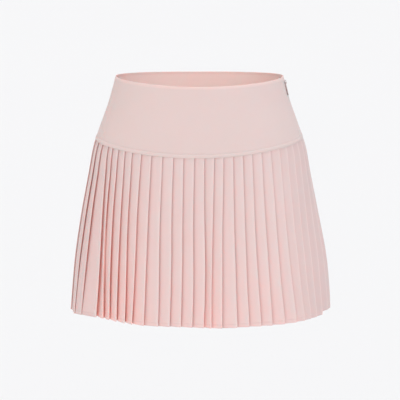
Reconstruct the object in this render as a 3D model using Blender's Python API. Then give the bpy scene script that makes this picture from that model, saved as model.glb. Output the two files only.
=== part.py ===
"""Pleated golf skirt, filled out as when worn: a plain shaped yoke over knife pleats.

Sizes are in millimetres until a mesh is made. +X is the wearer's left, -Y the front and +Z up, and the
origin is the middle of the waist opening. A place round the skirt is counted in pleats from the
front centre, positive towards +X, and a place down it is its drop below the waist.
"""

import math
from typing import NamedTuple

import bmesh
import bpy
from mathutils import Matrix, Vector

MM = 0.001

# Cloth
YOKE_WALL = 1.2
PLEAT_WALL = 1.1
SEAM_GAP = 0.3

# Lines round the skirt, as heights at the sides and how far the front and back hang below them
SEAM_HEIGHT = -95.2
HEM_HEIGHT = -371.5
WAIST_FRONT_DIP = 9.0
WAIST_BACK_DIP = 2.0
SEAM_FRONT_DIP = 20.6
SEAM_BACK_DIP = 8.0
SEAM_SLANT = 1.2
HEM_FRONT_DIP = 4.5
HEM_BACK_DIP = 1.0
DIP_POWER = 1.5

# Pleats
PLEAT_COUNT = 58
LAYER_STEP = 1.45
UNDERLAY = 9.5
KNEE = 1.0
KNEE_SHARE = 0.65
FOLD_ROOM = 2.5
OPENING_POWER = 0.8
MITRE_LIMIT = 0.45
PLEAT_LEVELS = (0.0, 0.07, 0.22, 0.45, 0.72, 1.0)
FRONT_FIRST, FRONT_LAST = 3, 26

# Yoke
YOKE_COLUMNS_FRONT = 48
YOKE_COLUMNS_BACK = 68

# Zip in the seam on the wearer's left side
TAPE_WIDTH = 24.0
TAPE_WALL = 1.0
TAPE_TOP = 5.0
TAPE_FOOT = 10.0
TAPE_PARTED = 13.4
TAPE_ROWS = 5
SLOT_WIDTH = 2.1
SLIDER_DROP = 9.0
SLIDER_SIZE = (5.6, 8.0, 1.8)
SLIDER_CORNER = 1.4
SLIDER_GAP = 0.4
BRIDGE_WIDTH = 1.4
BRIDGE_LENGTH = 6.4
BRIDGE_METAL = 0.8
PULL_METAL = 1.0
PULL_BAR = 1.1
PULL_CLEARANCE = 0.32
PULL_LENGTH = 22.0
PULL_TOP_WIDTH = 4.8
PULL_WIDTH = 7.2
PULL_WINDOW = (2.8, 5.0)
PULL_WINDOW_CORNER = 0.6
PULL_TILT = math.radians(0.3)
PULL_ROUND_STEPS = 14


class Section(NamedTuple):
    """A level section of the filled-out skirt, through the outermost cloth."""

    drop: float
    half_width: float
    front: float
    back: float
    squareness: float
    sway: float


class Line(NamedTuple):
    """A row of the yoke wall: its share of the way down, its lift above the seam, its two faces.

    The gap is the one between the panels at the zip.
    """

    share: float
    lift: float
    outer: float
    inner: float
    gap: float = SEAM_GAP


class Pleat(NamedTuple):
    """A raised fold edge: its place at the seam and at the hem, and how deep its fold is there."""

    seam: float
    hem: float
    depth: float


class Swing(NamedTuple):
    """A stretch of hem that hangs higher or lower: its middle, its spread and its lift."""

    place: float
    spread: float
    lift: float


class SideSeam(NamedTuple):
    """A side seam of the yoke: its place round the skirt at the waist and at the pleats."""

    waist: float
    foot: float


SECTIONS = (
    Section(drop=-15.0, half_width=126.5, front=94.5, back=95.0, squareness=2.1, sway=0.0),
    Section(drop=0.0, half_width=130.3, front=96.0, back=97.0, squareness=2.15, sway=0.0),
    Section(drop=40.0, half_width=141.5, front=101.0, back=103.0, squareness=2.2, sway=0.0),
    Section(drop=75.0, half_width=154.0, front=105.0, back=108.0, squareness=2.25, sway=0.0),
    Section(drop=110.0, half_width=166.0, front=108.0, back=113.0, squareness=2.3, sway=0.0),
    Section(drop=150.0, half_width=173.5, front=110.0, back=116.0, squareness=2.3, sway=0.0),
    Section(drop=210.0, half_width=185.3, front=113.0, back=119.0, squareness=2.3, sway=0.5),
    Section(drop=280.0, half_width=197.6, front=116.0, back=122.0, squareness=2.3, sway=2.0),
    Section(drop=340.0, half_width=203.6, front=118.0, back=124.0, squareness=2.3, sway=2.0),
    Section(drop=385.0, half_width=206.0, front=119.0, back=125.0, squareness=2.3, sway=1.0),
)

# The last 6 mm of the yoke is stitched down over the pleats' seam allowance, which thickens it.
YOKE_LINES = (
    Line(share=0.0, lift=0.0, outer=-0.3, inner=-0.9),
    Line(share=0.02, lift=0.0, outer=0.0, inner=-YOKE_WALL),
    Line(share=0.055, lift=0.0, outer=0.0, inner=-YOKE_WALL, gap=SLOT_WIDTH),
    Line(share=0.135, lift=0.0, outer=0.0, inner=-YOKE_WALL, gap=SLOT_WIDTH),
    Line(share=0.25, lift=0.0, outer=0.0, inner=-YOKE_WALL),
    Line(share=0.5, lift=0.0, outer=0.0, inner=-YOKE_WALL),
    Line(share=0.75, lift=0.0, outer=0.0, inner=-YOKE_WALL),
    Line(share=1.0, lift=7.4, outer=0.0, inner=-YOKE_WALL),
    Line(share=1.0, lift=5.8, outer=0.6, inner=-2.4),
    Line(share=1.0, lift=0.8, outer=0.6, inner=-4.2),
    Line(share=1.0, lift=0.0, outer=0.3, inner=-4.2),
)

HEM_SWINGS = (
    Swing(place=-9.3, spread=3.0, lift=6.5),
    Swing(place=-2.5, spread=2.5, lift=1.2),
    Swing(place=1.6, spread=1.4, lift=-1.2),
    Swing(place=11.8, spread=2.6, lift=4.2),
)

SEAM_RIGHT_SIDE = SideSeam(waist=-12.4, foot=-11.0)
SEAM_ZIP_SIDE = SideSeam(waist=13.4, foot=12.2)

# The pleats whose folds show from the front and round both sides, from the wearer's right.
SEEN_PLEATS = (
    Pleat(seam=-14.0, hem=-14.7, depth=7.0),
    Pleat(seam=-13.0, hem=-13.4, depth=7.0),
    Pleat(seam=-12.0, hem=-12.1, depth=6.5),
    Pleat(seam=-11.0, hem=-10.85, depth=8.0),
    Pleat(seam=-9.9, hem=-9.2, depth=9.0),
    Pleat(seam=-9.2, hem=-8.5, depth=8.8),
    Pleat(seam=-8.4, hem=-7.9, depth=8.6),
    Pleat(seam=-7.6, hem=-7.2, depth=8.6),
    Pleat(seam=-6.8, hem=-6.4, depth=8.6),
    Pleat(seam=-5.8, hem=-5.7, depth=8.0),
    Pleat(seam=-4.75, hem=-4.7, depth=5.5),
    Pleat(seam=-3.65, hem=-3.5, depth=4.5),
    Pleat(seam=-2.6, hem=-2.5, depth=5.0),
    Pleat(seam=-1.6, hem=-1.55, depth=5.5),
    Pleat(seam=-0.55, hem=-0.6, depth=5.5),
    Pleat(seam=0.45, hem=0.4, depth=8.5),
    Pleat(seam=1.4, hem=1.0, depth=7.5),
    Pleat(seam=2.3, hem=1.9, depth=5.0),
    Pleat(seam=3.25, hem=3.1, depth=5.5),
    Pleat(seam=4.2, hem=4.1, depth=5.5),
    Pleat(seam=5.15, hem=5.1, depth=5.5),
    Pleat(seam=6.15, hem=6.1, depth=5.5),
    Pleat(seam=7.15, hem=7.2, depth=5.0),
    Pleat(seam=8.2, hem=8.3, depth=5.0),
    Pleat(seam=9.15, hem=9.15, depth=5.0),
    Pleat(seam=10.1, hem=9.85, depth=5.0),
    Pleat(seam=11.1, hem=10.55, depth=5.0),
    Pleat(seam=12.2, hem=11.35, depth=5.5),
    Pleat(seam=13.2, hem=12.5, depth=6.0),
    Pleat(seam=14.2, hem=13.9, depth=6.0),
)
FIRST_SEEN = -1

# The hidden back pleats are evenly spread, but for waves as large as those seen in front.
BACK_WAVER = 0.16
BACK_SEAM_WAVER = 0.06
BACK_WAVE = 2.3
BACK_DEPTH = 6.0
BACK_DEPTH_WAVER = 1.8
BACK_DEPTH_WAVE = 1.7

CLOTH_COLOUR = (0.80, 0.62, 0.58, 1.0)
PLEAT_COLOUR = (0.80, 0.58, 0.54, 1.0)
TAPE_COLOUR = (0.72, 0.54, 0.50, 1.0)
METAL_COLOUR = (0.62, 0.50, 0.48, 1.0)


def clear_scene():
    """Remove every object that the scene starts with."""
    for thing in list(bpy.data.objects):
        bpy.data.objects.remove(thing, do_unlink=True)


def material(name, colour, roughness, metallic=0.0):
    """A Principled material with the given finish."""
    made = bpy.data.materials.new(name)
    made.use_nodes = True
    shader = made.node_tree.nodes["Principled BSDF"]
    shader.inputs["Base Color"].default_value = colour
    shader.inputs["Roughness"].default_value = roughness
    shader.inputs["Metallic"].default_value = metallic
    return made


def section_at(drop):
    """The section at a drop, on a smooth curve through the table's rows."""
    last = len(SECTIONS) - 2
    row = max(k for k in range(last + 1) if k == 0 or SECTIONS[k].drop <= drop)
    before, start = SECTIONS[max(row - 1, 0)], SECTIONS[row]
    end, after = SECTIONS[row + 1], SECTIONS[min(row + 2, last + 1)]
    span = end.drop - start.drop
    u = (drop - start.drop) / span
    values = [drop]
    for field in Section._fields[1:]:
        p, q = getattr(start, field), getattr(end, field)
        leave = (q - getattr(before, field)) / (end.drop - before.drop) * span
        arrive = (getattr(after, field) - p) / (after.drop - start.drop) * span
        values.append(
            (2 * u**3 - 3 * u**2 + 1) * p
            + (u**3 - 2 * u**2 + u) * leave
            + (3 * u**2 - 2 * u**3) * q
            + (u**3 - u**2) * arrive
        )
    return Section(*values)


class Mould:
    """The outer form of the skirt at one drop, measured along its outline."""

    STEPS = 720

    def __init__(self, drop):
        self.section = section_at(drop)
        self.points = [self.corner(k) for k in range(self.STEPS + 1)]
        self.along = [0.0]
        for a, b in zip(self.points, self.points[1:]):
            self.along.append(self.along[-1] + (b - a).length)
        self.girth = self.along[-1]
        self.middle = self.along[self.STEPS // 2]

    def corner(self, k):
        """The outline's point k, from the back centre round by the wearer's right."""
        angle = 2 * math.pi * (k / self.STEPS - 0.5)
        across, ahead = math.sin(angle), math.cos(angle)
        power = 2 / self.section.squareness
        reach = self.section.front if ahead > 0 else self.section.back
        x = self.section.half_width * math.copysign(abs(across) ** power, across)
        x += self.section.sway
        y = -reach * math.copysign(abs(ahead) ** power, ahead)
        return Vector((x, y))

    def point(self, place):
        """The outline's point at a place in pleats from the front centre."""
        share = place / PLEAT_COUNT
        share -= math.floor(share + 0.5)
        wanted = self.middle + share * self.girth
        low, high = 0, self.STEPS
        while high - low > 1:
            mid = (low + high) // 2
            if self.along[mid] <= wanted:
                low = mid
            else:
                high = mid
        part = (wanted - self.along[low]) / (self.along[high] - self.along[low])
        return self.points[low].lerp(self.points[high], part)

    def outward(self, place):
        """The level direction out of the outline at a place."""
        step = 0.25
        way = self.point(place + step) - self.point(place - step)
        return Vector((way.y, -way.x)).normalized()


MOULDS = {}


def mould_at(drop):
    """The mould at a drop, made once for each tenth of a millimetre."""
    key = round(drop * 10)
    if key not in MOULDS:
        MOULDS[key] = Mould(drop)
    return MOULDS[key]


def dip(place, front, back):
    """How far a line hangs below its height at the sides."""
    turn = math.cos(2 * math.pi * place / PLEAT_COUNT)
    return front * max(turn, 0.0) ** DIP_POWER + back * max(-turn, 0.0) ** DIP_POWER


def waist_height(place):
    """The height of the waist edge at a place."""
    return -dip(place, WAIST_FRONT_DIP, WAIST_BACK_DIP)


def seam_height(place):
    """The height of the seam between yoke and pleats at a place."""
    slant = SEAM_SLANT * math.sin(2 * math.pi * place / PLEAT_COUNT)
    return SEAM_HEIGHT - dip(place, SEAM_FRONT_DIP, SEAM_BACK_DIP) + slant


def hem_height(place):
    """The height of the hem at a place."""
    height = HEM_HEIGHT - dip(place, HEM_FRONT_DIP, HEM_BACK_DIP)
    around = (place + PLEAT_COUNT / 2) % PLEAT_COUNT - PLEAT_COUNT / 2
    for swing in HEM_SWINGS:
        height += swing.lift * math.exp(-(((around - swing.place) / swing.spread) ** 2))
    return height


def on_cloth(place, height, out):
    """The point at a place and a height, so far out from the mould."""
    mould = mould_at(-height)
    flat = mould.point(place) + out * mould.outward(place)
    return Vector((flat.x, flat.y, height))


def wall_object(name, outer, inner, finish, missing=()):
    """A closed wall between two faces, each a list of rows of points from the top down.

    The missing cells of that grid, by row and column, are left open, with walls round them.
    """
    mesh = bpy.data.meshes.new(name)
    form = bmesh.new()
    out = [[form.verts.new(p * MM) for p in row] for row in outer]
    back = [[form.verts.new(p * MM) for p in row] for row in inner]
    cells = {(r, c) for r in range(len(outer) - 1) for c in range(len(outer[0]) - 1)} - set(missing)
    for r, c in sorted(cells):
        corners = ((r, c), (r + 1, c), (r + 1, c + 1), (r, c + 1))
        form.faces.new([out[i][j] for i, j in corners])
        form.faces.new([back[i][j] for i, j in reversed(corners)])
        for k, beyond in enumerate(((r, c - 1), (r + 1, c), (r, c + 1), (r - 1, c))):
            if beyond not in cells:
                (i, j), (m, n) = corners[k], corners[(k + 1) % len(corners)]
                form.faces.new((out[i][j], back[i][j], back[m][n], out[m][n]))
    bmesh.ops.recalc_face_normals(form, faces=form.faces)
    form.to_mesh(mesh)
    form.free()
    return place_object(name, mesh, finish)


def place_object(name, mesh, finish):
    """An object of a mesh, in the scene, with its material."""
    thing = bpy.data.objects.new(name, mesh)
    mesh.materials.append(finish)
    bpy.context.scene.collection.objects.link(thing)
    return thing


def yoke_place(start, end, share, down):
    """A place between two side seams, at a share across and a share of the way down."""
    left = start.waist + (start.foot - start.waist) * down
    right = end.waist + (end.foot - end.waist) * down
    return left + (right - left) * share


def yoke_panel(name, start, end, columns, finish):
    """A panel of the yoke from one side seam to the other."""
    outer, inner = [], []
    for line in YOKE_LINES:
        faces = ([], [])
        for c in range(columns + 1):
            place = yoke_place(start, end, c / columns, line.share)
            top, foot = waist_height(place), seam_height(place)
            height = top + (foot - top) * line.share + line.lift
            left, right = (line.gap / 2 if side == SEAM_ZIP_SIDE else SEAM_GAP / 2 for side in (start, end))
            trim = left - (left + right) * c / columns
            place += trim / mould_at(-height).girth * PLEAT_COUNT
            for face, out in zip(faces, (line.outer, line.inner)):
                face.append(on_cloth(place, height, out))
        outer.append(faces[0])
        inner.append(faces[1])
    return wall_object(name, outer, inner, finish)


def pleat(number):
    """The fold with a number, counted from the front centre round the whole skirt."""
    index = (number - FIRST_SEEN) % PLEAT_COUNT
    if index < len(SEEN_PLEATS):
        row, turns = SEEN_PLEATS[index], (number - FIRST_SEEN) // PLEAT_COUNT
        return Pleat(row.seam + turns * PLEAT_COUNT, row.hem + turns * PLEAT_COUNT, row.depth)
    start, end = SEEN_PLEATS[-1], SEEN_PLEATS[0]
    hidden = PLEAT_COUNT - len(SEEN_PLEATS) + 1
    k = index - len(SEEN_PLEATS) + 1
    share, wave = k / hidden, math.sin(BACK_WAVE * k)
    turns = (number - FIRST_SEEN) // PLEAT_COUNT * PLEAT_COUNT
    seam = start.seam + (end.seam + PLEAT_COUNT - start.seam) * share + BACK_SEAM_WAVER * wave
    hem = start.hem + (end.hem + PLEAT_COUNT - start.hem) * share + BACK_WAVER * wave
    depth = BACK_DEPTH + BACK_DEPTH_WAVER * math.sin(BACK_DEPTH_WAVE * k)
    return Pleat(seam + turns, hem + turns, depth)


def opening(row, level):
    """How far a fold hangs open at a level, beyond being pressed flat."""
    return max(row.depth - 2 * LAYER_STEP, 0.0) * level**OPENING_POWER


def edge_place(number, level):
    """The place of a raised fold edge at a level."""
    row = pleat(number)
    return row.seam + (row.hem - row.seam) * level


def cloth_height(place, level):
    """The height at a place and a level, 0 at the seam and 1 at the hem."""
    top = seam_height(place) - SEAM_GAP
    return top + (hem_height(place) - top) * level


def knee_point(number, level):
    """Where the next face comes out from under a fold edge."""
    place = edge_place(number, level)
    pitch = mould_at(-cloth_height(place, level)).girth / PLEAT_COUNT
    place += KNEE / pitch
    depth = 2 * LAYER_STEP + KNEE_SHARE * opening(pleat(number), level)
    return on_cloth(place, cloth_height(place, level), -PLEAT_WALL / 2 - depth)


def fold_points(number, level):
    """A fold's corners at a level, through the middle of the wall, on the way round the skirt."""
    place, opened = edge_place(number, level), opening(pleat(number), level)
    edge = on_cloth(place, cloth_height(place, level), -PLEAT_WALL / 2)
    face = edge - knee_point(number - 1, level)
    length = face.xy.length
    along = Vector((face.x, face.y, 0.0)) / length
    inward = Vector((-along.y, along.x, 0.0))
    back = min(math.sqrt(UNDERLAY**2 - opened**2), length - FOLD_ROOM)
    under = edge - back * along + (LAYER_STEP + opened) * inward
    pitch = mould_at(-edge.z).girth / PLEAT_COUNT
    under.z = cloth_height(place - back / pitch, level)
    return {
        "edge": edge,
        "turn": edge + LAYER_STEP * inward,
        "under": under,
        "root": under + LAYER_STEP * inward,
        "knee": knee_point(number, level),
    }


def pleat_path(first, last, level):
    """The middle of the pleated wall at a level, from inside one fold to inside another."""
    start = fold_points(first - 1, level)
    path = [start["root"], start["knee"]]
    for number in range(first, last + 1):
        fold = fold_points(number, level)
        names = ["edge", "turn", "under"] if number == last else list(fold)
        path += [fold[name] for name in names]
    return path


def offset(points, half):
    """Two lines each so far from the middle of an open line of level points."""
    sides = ([], [])
    for k, here in enumerate(points):
        before = (here - points[k - 1]).normalized() if k else None
        after = (points[k + 1] - here).normalized() if k + 1 < len(points) else None
        before, after = before or after, after or before
        way = (before + after).normalized()
        reach = half / max(way.dot(after), MITRE_LIMIT)
        across = Vector((way.y, -way.x)) * reach
        sides[0].append(here + across)
        sides[1].append(here - across)
    return sides


def pleated_panel(name, first, last, finish):
    """A pleated panel with the raised edges of the folds from first to last."""
    outer, inner = [], []
    for level in PLEAT_LEVELS:
        path = pleat_path(first, last, level)
        sides = offset([point.to_2d() for point in path], PLEAT_WALL / 2)
        outer.append([Vector((*p, q.z)) for p, q in zip(sides[0], path)])
        inner.append([Vector((*p, q.z)) for p, q in zip(sides[1], path)])
    return wall_object(name, outer, inner, finish)


def zip_place(height):
    """The place of the zip's side seam at a height."""
    foot = seam_height(SEAM_ZIP_SIDE.foot)
    share = height / foot
    return SEAM_ZIP_SIDE.waist + (SEAM_ZIP_SIDE.foot - SEAM_ZIP_SIDE.waist) * share


def zip_tape(finish):
    """The zip's tapes, flat against the inside of the side seam, parted as far down as the slider."""
    outer, inner = [], []
    foot = seam_height(SEAM_ZIP_SIDE.foot) + TAPE_FOOT
    face = -YOKE_WALL - SEAM_GAP
    half = TAPE_WIDTH / 2
    edges = [half, 2 * half / 3, half / 3, SLOT_WIDTH / 2]
    across = [-edge for edge in edges] + edges[::-1]
    closed = [-TAPE_PARTED + (foot + TAPE_PARTED) * r / TAPE_ROWS for r in range(TAPE_ROWS + 1)]
    for height in [-TAPE_TOP] + closed:
        pitch = mould_at(-height).girth / PLEAT_COUNT
        places = [zip_place(height) + a / pitch for a in across]
        outer.append([on_cloth(place, height, face) for place in places])
        inner.append([on_cloth(place, height, face - TAPE_WALL) for place in places])
    return wall_object("zip_tape", outer, inner, finish, missing=[(0, len(edges) - 1)])


def zip_frame():
    """The slider's frame on the cloth: x across the seam, y down along it, z out of the cloth."""
    high, low = -SLIDER_DROP + SLIDER_SIZE[1], -SLIDER_DROP - PULL_LENGTH
    here = on_cloth(zip_place(-SLIDER_DROP), -SLIDER_DROP, 0.0)
    down = on_cloth(zip_place(low), low, 0.0) - on_cloth(zip_place(high), high, 0.0)
    down.normalize()
    level_out = mould_at(SLIDER_DROP).outward(zip_place(-SLIDER_DROP)).to_3d()
    out = (level_out - level_out.dot(down) * down).normalized()
    across = down.cross(out)
    turn = Matrix((across, down, out)).transposed().to_4x4()
    return Matrix.Translation(here * MM) @ turn


def prism(name, outline, low, high, finish):
    """A straight prism over an outline of (x, y) points, between two levels."""
    mesh = bpy.data.meshes.new(name)
    form = bmesh.new()
    floor = [form.verts.new((x * MM, y * MM, low * MM)) for x, y in outline]
    roof = [form.verts.new((x * MM, y * MM, high * MM)) for x, y in outline]
    form.faces.new(floor)
    form.faces.new(roof)
    for k in range(len(outline)):
        n = (k + 1) % len(outline)
        form.faces.new((floor[k], floor[n], roof[n], roof[k]))
    bmesh.ops.recalc_face_normals(form, faces=form.faces)
    form.to_mesh(mesh)
    form.free()
    return place_object(name, mesh, finish)


def combine(thing, other, operation):
    """Join another solid to a thing, or cut it away, and keep it as a hidden guide."""
    step = thing.modifiers.new(other.name, "BOOLEAN")
    step.operation = operation
    step.solver = "EXACT"
    step.object = other
    other.hide_render = True
    other.display_type = "WIRE"


def rounded(width, length, corner, steps=3):
    """A rectangle with round corners, centred, as (x, y) points."""
    points = []
    for turn, (sx, sy) in enumerate(((1, 1), (-1, 1), (-1, -1), (1, -1))):
        for k in range(steps + 1):
            angle = math.pi / 2 * (turn + k / steps)
            x = sx * (width / 2 - corner) + corner * math.cos(angle)
            y = sy * (length / 2 - corner) + corner * math.sin(angle)
            points.append((x, y))
    return points


def pull_axis():
    """How far the pull's turning axis is from the cloth."""
    return PULL_CLEARANCE + math.hypot(PULL_BAR, PULL_METAL) / 2


def zip_slider(frame, finish):
    """The slider: a small body behind the tapes, with a bridge out through the seam for the pull."""
    roof = -YOKE_WALL - SEAM_GAP - TAPE_WALL - SLIDER_GAP
    inside = pull_axis() + math.hypot(PULL_BAR, PULL_METAL) / 2 + PULL_CLEARANCE
    outside = inside + BRIDGE_METAL
    outline = rounded(SLIDER_SIZE[0], SLIDER_SIZE[1], SLIDER_CORNER)
    body = prism("zip_slider", outline, roof - SLIDER_SIZE[2], roof, finish)
    half, leg = BRIDGE_LENGTH / 2, BRIDGE_LENGTH / 2 - BRIDGE_METAL
    sunk = roof - SLIDER_SIZE[2] / 2
    arch = [
        (-half, sunk),
        (-half, outside - BRIDGE_METAL),
        (-leg, outside),
        (leg, outside),
        (half, outside - BRIDGE_METAL),
        (half, sunk),
        (leg, sunk),
        (leg, inside),
        (-leg, inside),
        (-leg, sunk),
    ]
    bridge = prism("bridge_guide", arch, -BRIDGE_WIDTH / 2, BRIDGE_WIDTH / 2, finish)
    body.matrix_world = frame
    upright = Matrix(((0, 0, 1, 0), (1, 0, 0, 0), (0, 1, 0, 0), (0, 0, 0, 1)))
    bridge.matrix_world = frame @ upright
    combine(body, bridge, "UNION")
    return body


def pull_outline():
    """A drop shape, hung from its bar at y = 0."""
    top, radius = -PULL_BAR / 2, PULL_WIDTH / 2
    centre = PULL_LENGTH - PULL_BAR / 2 - radius
    points = []
    for k in range(PULL_ROUND_STEPS + 1):
        angle = math.pi * k / PULL_ROUND_STEPS
        points.append((radius * math.cos(angle), centre + radius * math.sin(angle)))
    waist = PULL_WINDOW[1] + PULL_BAR
    points += [(-PULL_TOP_WIDTH / 2, waist), (-PULL_TOP_WIDTH / 2, top)]
    points += [(PULL_TOP_WIDTH / 2, top), (PULL_TOP_WIDTH / 2, waist)]
    return points


def zip_pull(frame, finish):
    """The pull tab, hanging on the bridge with its foot almost on the cloth."""
    half = PULL_METAL / 2
    pull = prism("zip_pull", pull_outline(), -half, half, finish)
    window = prism("window_guide", rounded(*PULL_WINDOW, PULL_WINDOW_CORNER), -2 * half, 2 * half, finish)
    place = frame @ Matrix.Translation((0, 0, pull_axis() * MM)) @ Matrix.Rotation(-PULL_TILT, 4, "X")
    pull.matrix_world = place
    drop = (PULL_WINDOW[1] + PULL_BAR) / 2
    window.matrix_world = place @ Matrix.Translation((0, drop * MM, 0))
    combine(pull, window, "DIFFERENCE")
    return pull


def build_skirt():
    """Make every piece of the skirt."""
    clear_scene()
    yoke_cloth = material("yoke_cloth", CLOTH_COLOUR, 0.85)
    pleat_cloth = material("pleat_cloth", PLEAT_COLOUR, 0.85)
    tape = material("zip_tape_cloth", TAPE_COLOUR, 0.8)
    metal = material("zip_metal", METAL_COLOUR, 0.35, 1.0)
    behind = SideSeam(SEAM_RIGHT_SIDE.waist + PLEAT_COUNT, SEAM_RIGHT_SIDE.foot + PLEAT_COUNT)
    yoke_panel("yoke_front", SEAM_RIGHT_SIDE, SEAM_ZIP_SIDE, YOKE_COLUMNS_FRONT, yoke_cloth)
    yoke_panel("yoke_back", SEAM_ZIP_SIDE, behind, YOKE_COLUMNS_BACK, yoke_cloth)
    pleated_panel("pleats_front", FRONT_FIRST, FRONT_LAST, pleat_cloth)
    pleated_panel("pleats_back", FRONT_LAST + 1, FRONT_FIRST - 1 + PLEAT_COUNT, pleat_cloth)
    zip_tape(tape)
    frame = zip_frame()
    zip_slider(frame, metal)
    zip_pull(frame, metal)


build_skirt()
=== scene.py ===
"""Looks of a pleated golf skirt: its cloth, stitches and zip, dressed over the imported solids.

Lengths are in millimetres until a mesh is made. +X is the wearer's left, -Y the front and +Z up, and the
origin is the middle of the waist opening. A place round the skirt is counted in pleats from the front
centre, positive towards +X, and a drop is measured down from the waist.
"""

import logging
import math
from dataclasses import dataclass
from enum import Enum
from typing import ClassVar, Iterable, NamedTuple, Sequence

import bmesh
import bpy
import numpy as np
from bpy.types import Material, Mesh, Node, NodeSocket, NodeTree, Object
from mathutils import Matrix, Vector


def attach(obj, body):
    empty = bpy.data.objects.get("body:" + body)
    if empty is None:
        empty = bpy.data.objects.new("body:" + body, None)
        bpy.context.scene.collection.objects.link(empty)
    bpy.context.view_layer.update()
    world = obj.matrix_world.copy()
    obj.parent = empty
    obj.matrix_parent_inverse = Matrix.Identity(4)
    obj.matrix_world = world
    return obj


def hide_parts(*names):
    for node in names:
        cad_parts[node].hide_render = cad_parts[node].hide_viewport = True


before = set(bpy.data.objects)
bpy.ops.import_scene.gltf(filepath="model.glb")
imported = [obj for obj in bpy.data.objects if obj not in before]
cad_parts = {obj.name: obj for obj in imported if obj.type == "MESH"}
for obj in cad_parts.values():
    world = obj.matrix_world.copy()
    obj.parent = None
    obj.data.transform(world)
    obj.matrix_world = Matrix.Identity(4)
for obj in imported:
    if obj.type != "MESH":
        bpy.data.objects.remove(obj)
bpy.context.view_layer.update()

MM = 0.001
PLEATS = 58
CLOTH_MAP = "cloth_mm"

Triple = tuple[float, float, float]
Colour = tuple[float, float, float, float]
Outline = list[tuple[float, float]]

log = logging.getLogger("skirt")


class Body(Enum):
    """The two bodies of the skirt's frame."""

    SKIRT = "skirt"
    PULL = "pull"


class Slot(Enum):
    """The record's material slots."""

    YOKE = "yoke_cloth"
    PLEATS = "pleat_cloth"
    TAPE = "zip_tape_cloth"
    METAL = "zip_metal"


# ---- form


class Section(NamedTuple):
    """A level section of the filled-out skirt, through the outermost cloth."""

    drop: float
    half_width: float
    front: float
    back: float
    squareness: float
    sway: float


class Swing(NamedTuple):
    """A stretch of hem that hangs higher or lower: its middle, its spread and its lift."""

    place: float
    spread: float
    lift: float


class SideSeam(NamedTuple):
    """A side seam of the yoke: its place round the skirt at the waist and at the pleats."""

    waist: float
    foot: float


SECTIONS = (
    Section(drop=-15.0, half_width=126.5, front=94.5, back=95.0, squareness=2.1, sway=0.0),
    Section(drop=0.0, half_width=130.3, front=96.0, back=97.0, squareness=2.15, sway=0.0),
    Section(drop=40.0, half_width=141.5, front=101.0, back=103.0, squareness=2.2, sway=0.0),
    Section(drop=75.0, half_width=154.0, front=105.0, back=108.0, squareness=2.25, sway=0.0),
    Section(drop=110.0, half_width=166.0, front=108.0, back=113.0, squareness=2.3, sway=0.0),
    Section(drop=150.0, half_width=173.5, front=110.0, back=116.0, squareness=2.3, sway=0.0),
    Section(drop=210.0, half_width=185.3, front=113.0, back=119.0, squareness=2.3, sway=0.5),
    Section(drop=280.0, half_width=197.6, front=116.0, back=122.0, squareness=2.3, sway=2.0),
    Section(drop=340.0, half_width=203.6, front=118.0, back=124.0, squareness=2.3, sway=2.0),
    Section(drop=385.0, half_width=206.0, front=119.0, back=125.0, squareness=2.3, sway=1.0),
)

HEM_SWINGS = (
    Swing(place=-9.3, spread=3.0, lift=6.5),
    Swing(place=-2.5, spread=2.5, lift=1.2),
    Swing(place=1.6, spread=1.4, lift=-1.2),
    Swing(place=11.8, spread=2.6, lift=4.2),
)

SEAM_RIGHT_SIDE = SideSeam(waist=-12.4, foot=-11.0)
SEAM_ZIP_SIDE = SideSeam(waist=13.4, foot=12.2)
SEAM_BEHIND = SideSeam(waist=SEAM_RIGHT_SIDE.waist + PLEATS, foot=SEAM_RIGHT_SIDE.foot + PLEATS)


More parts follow.
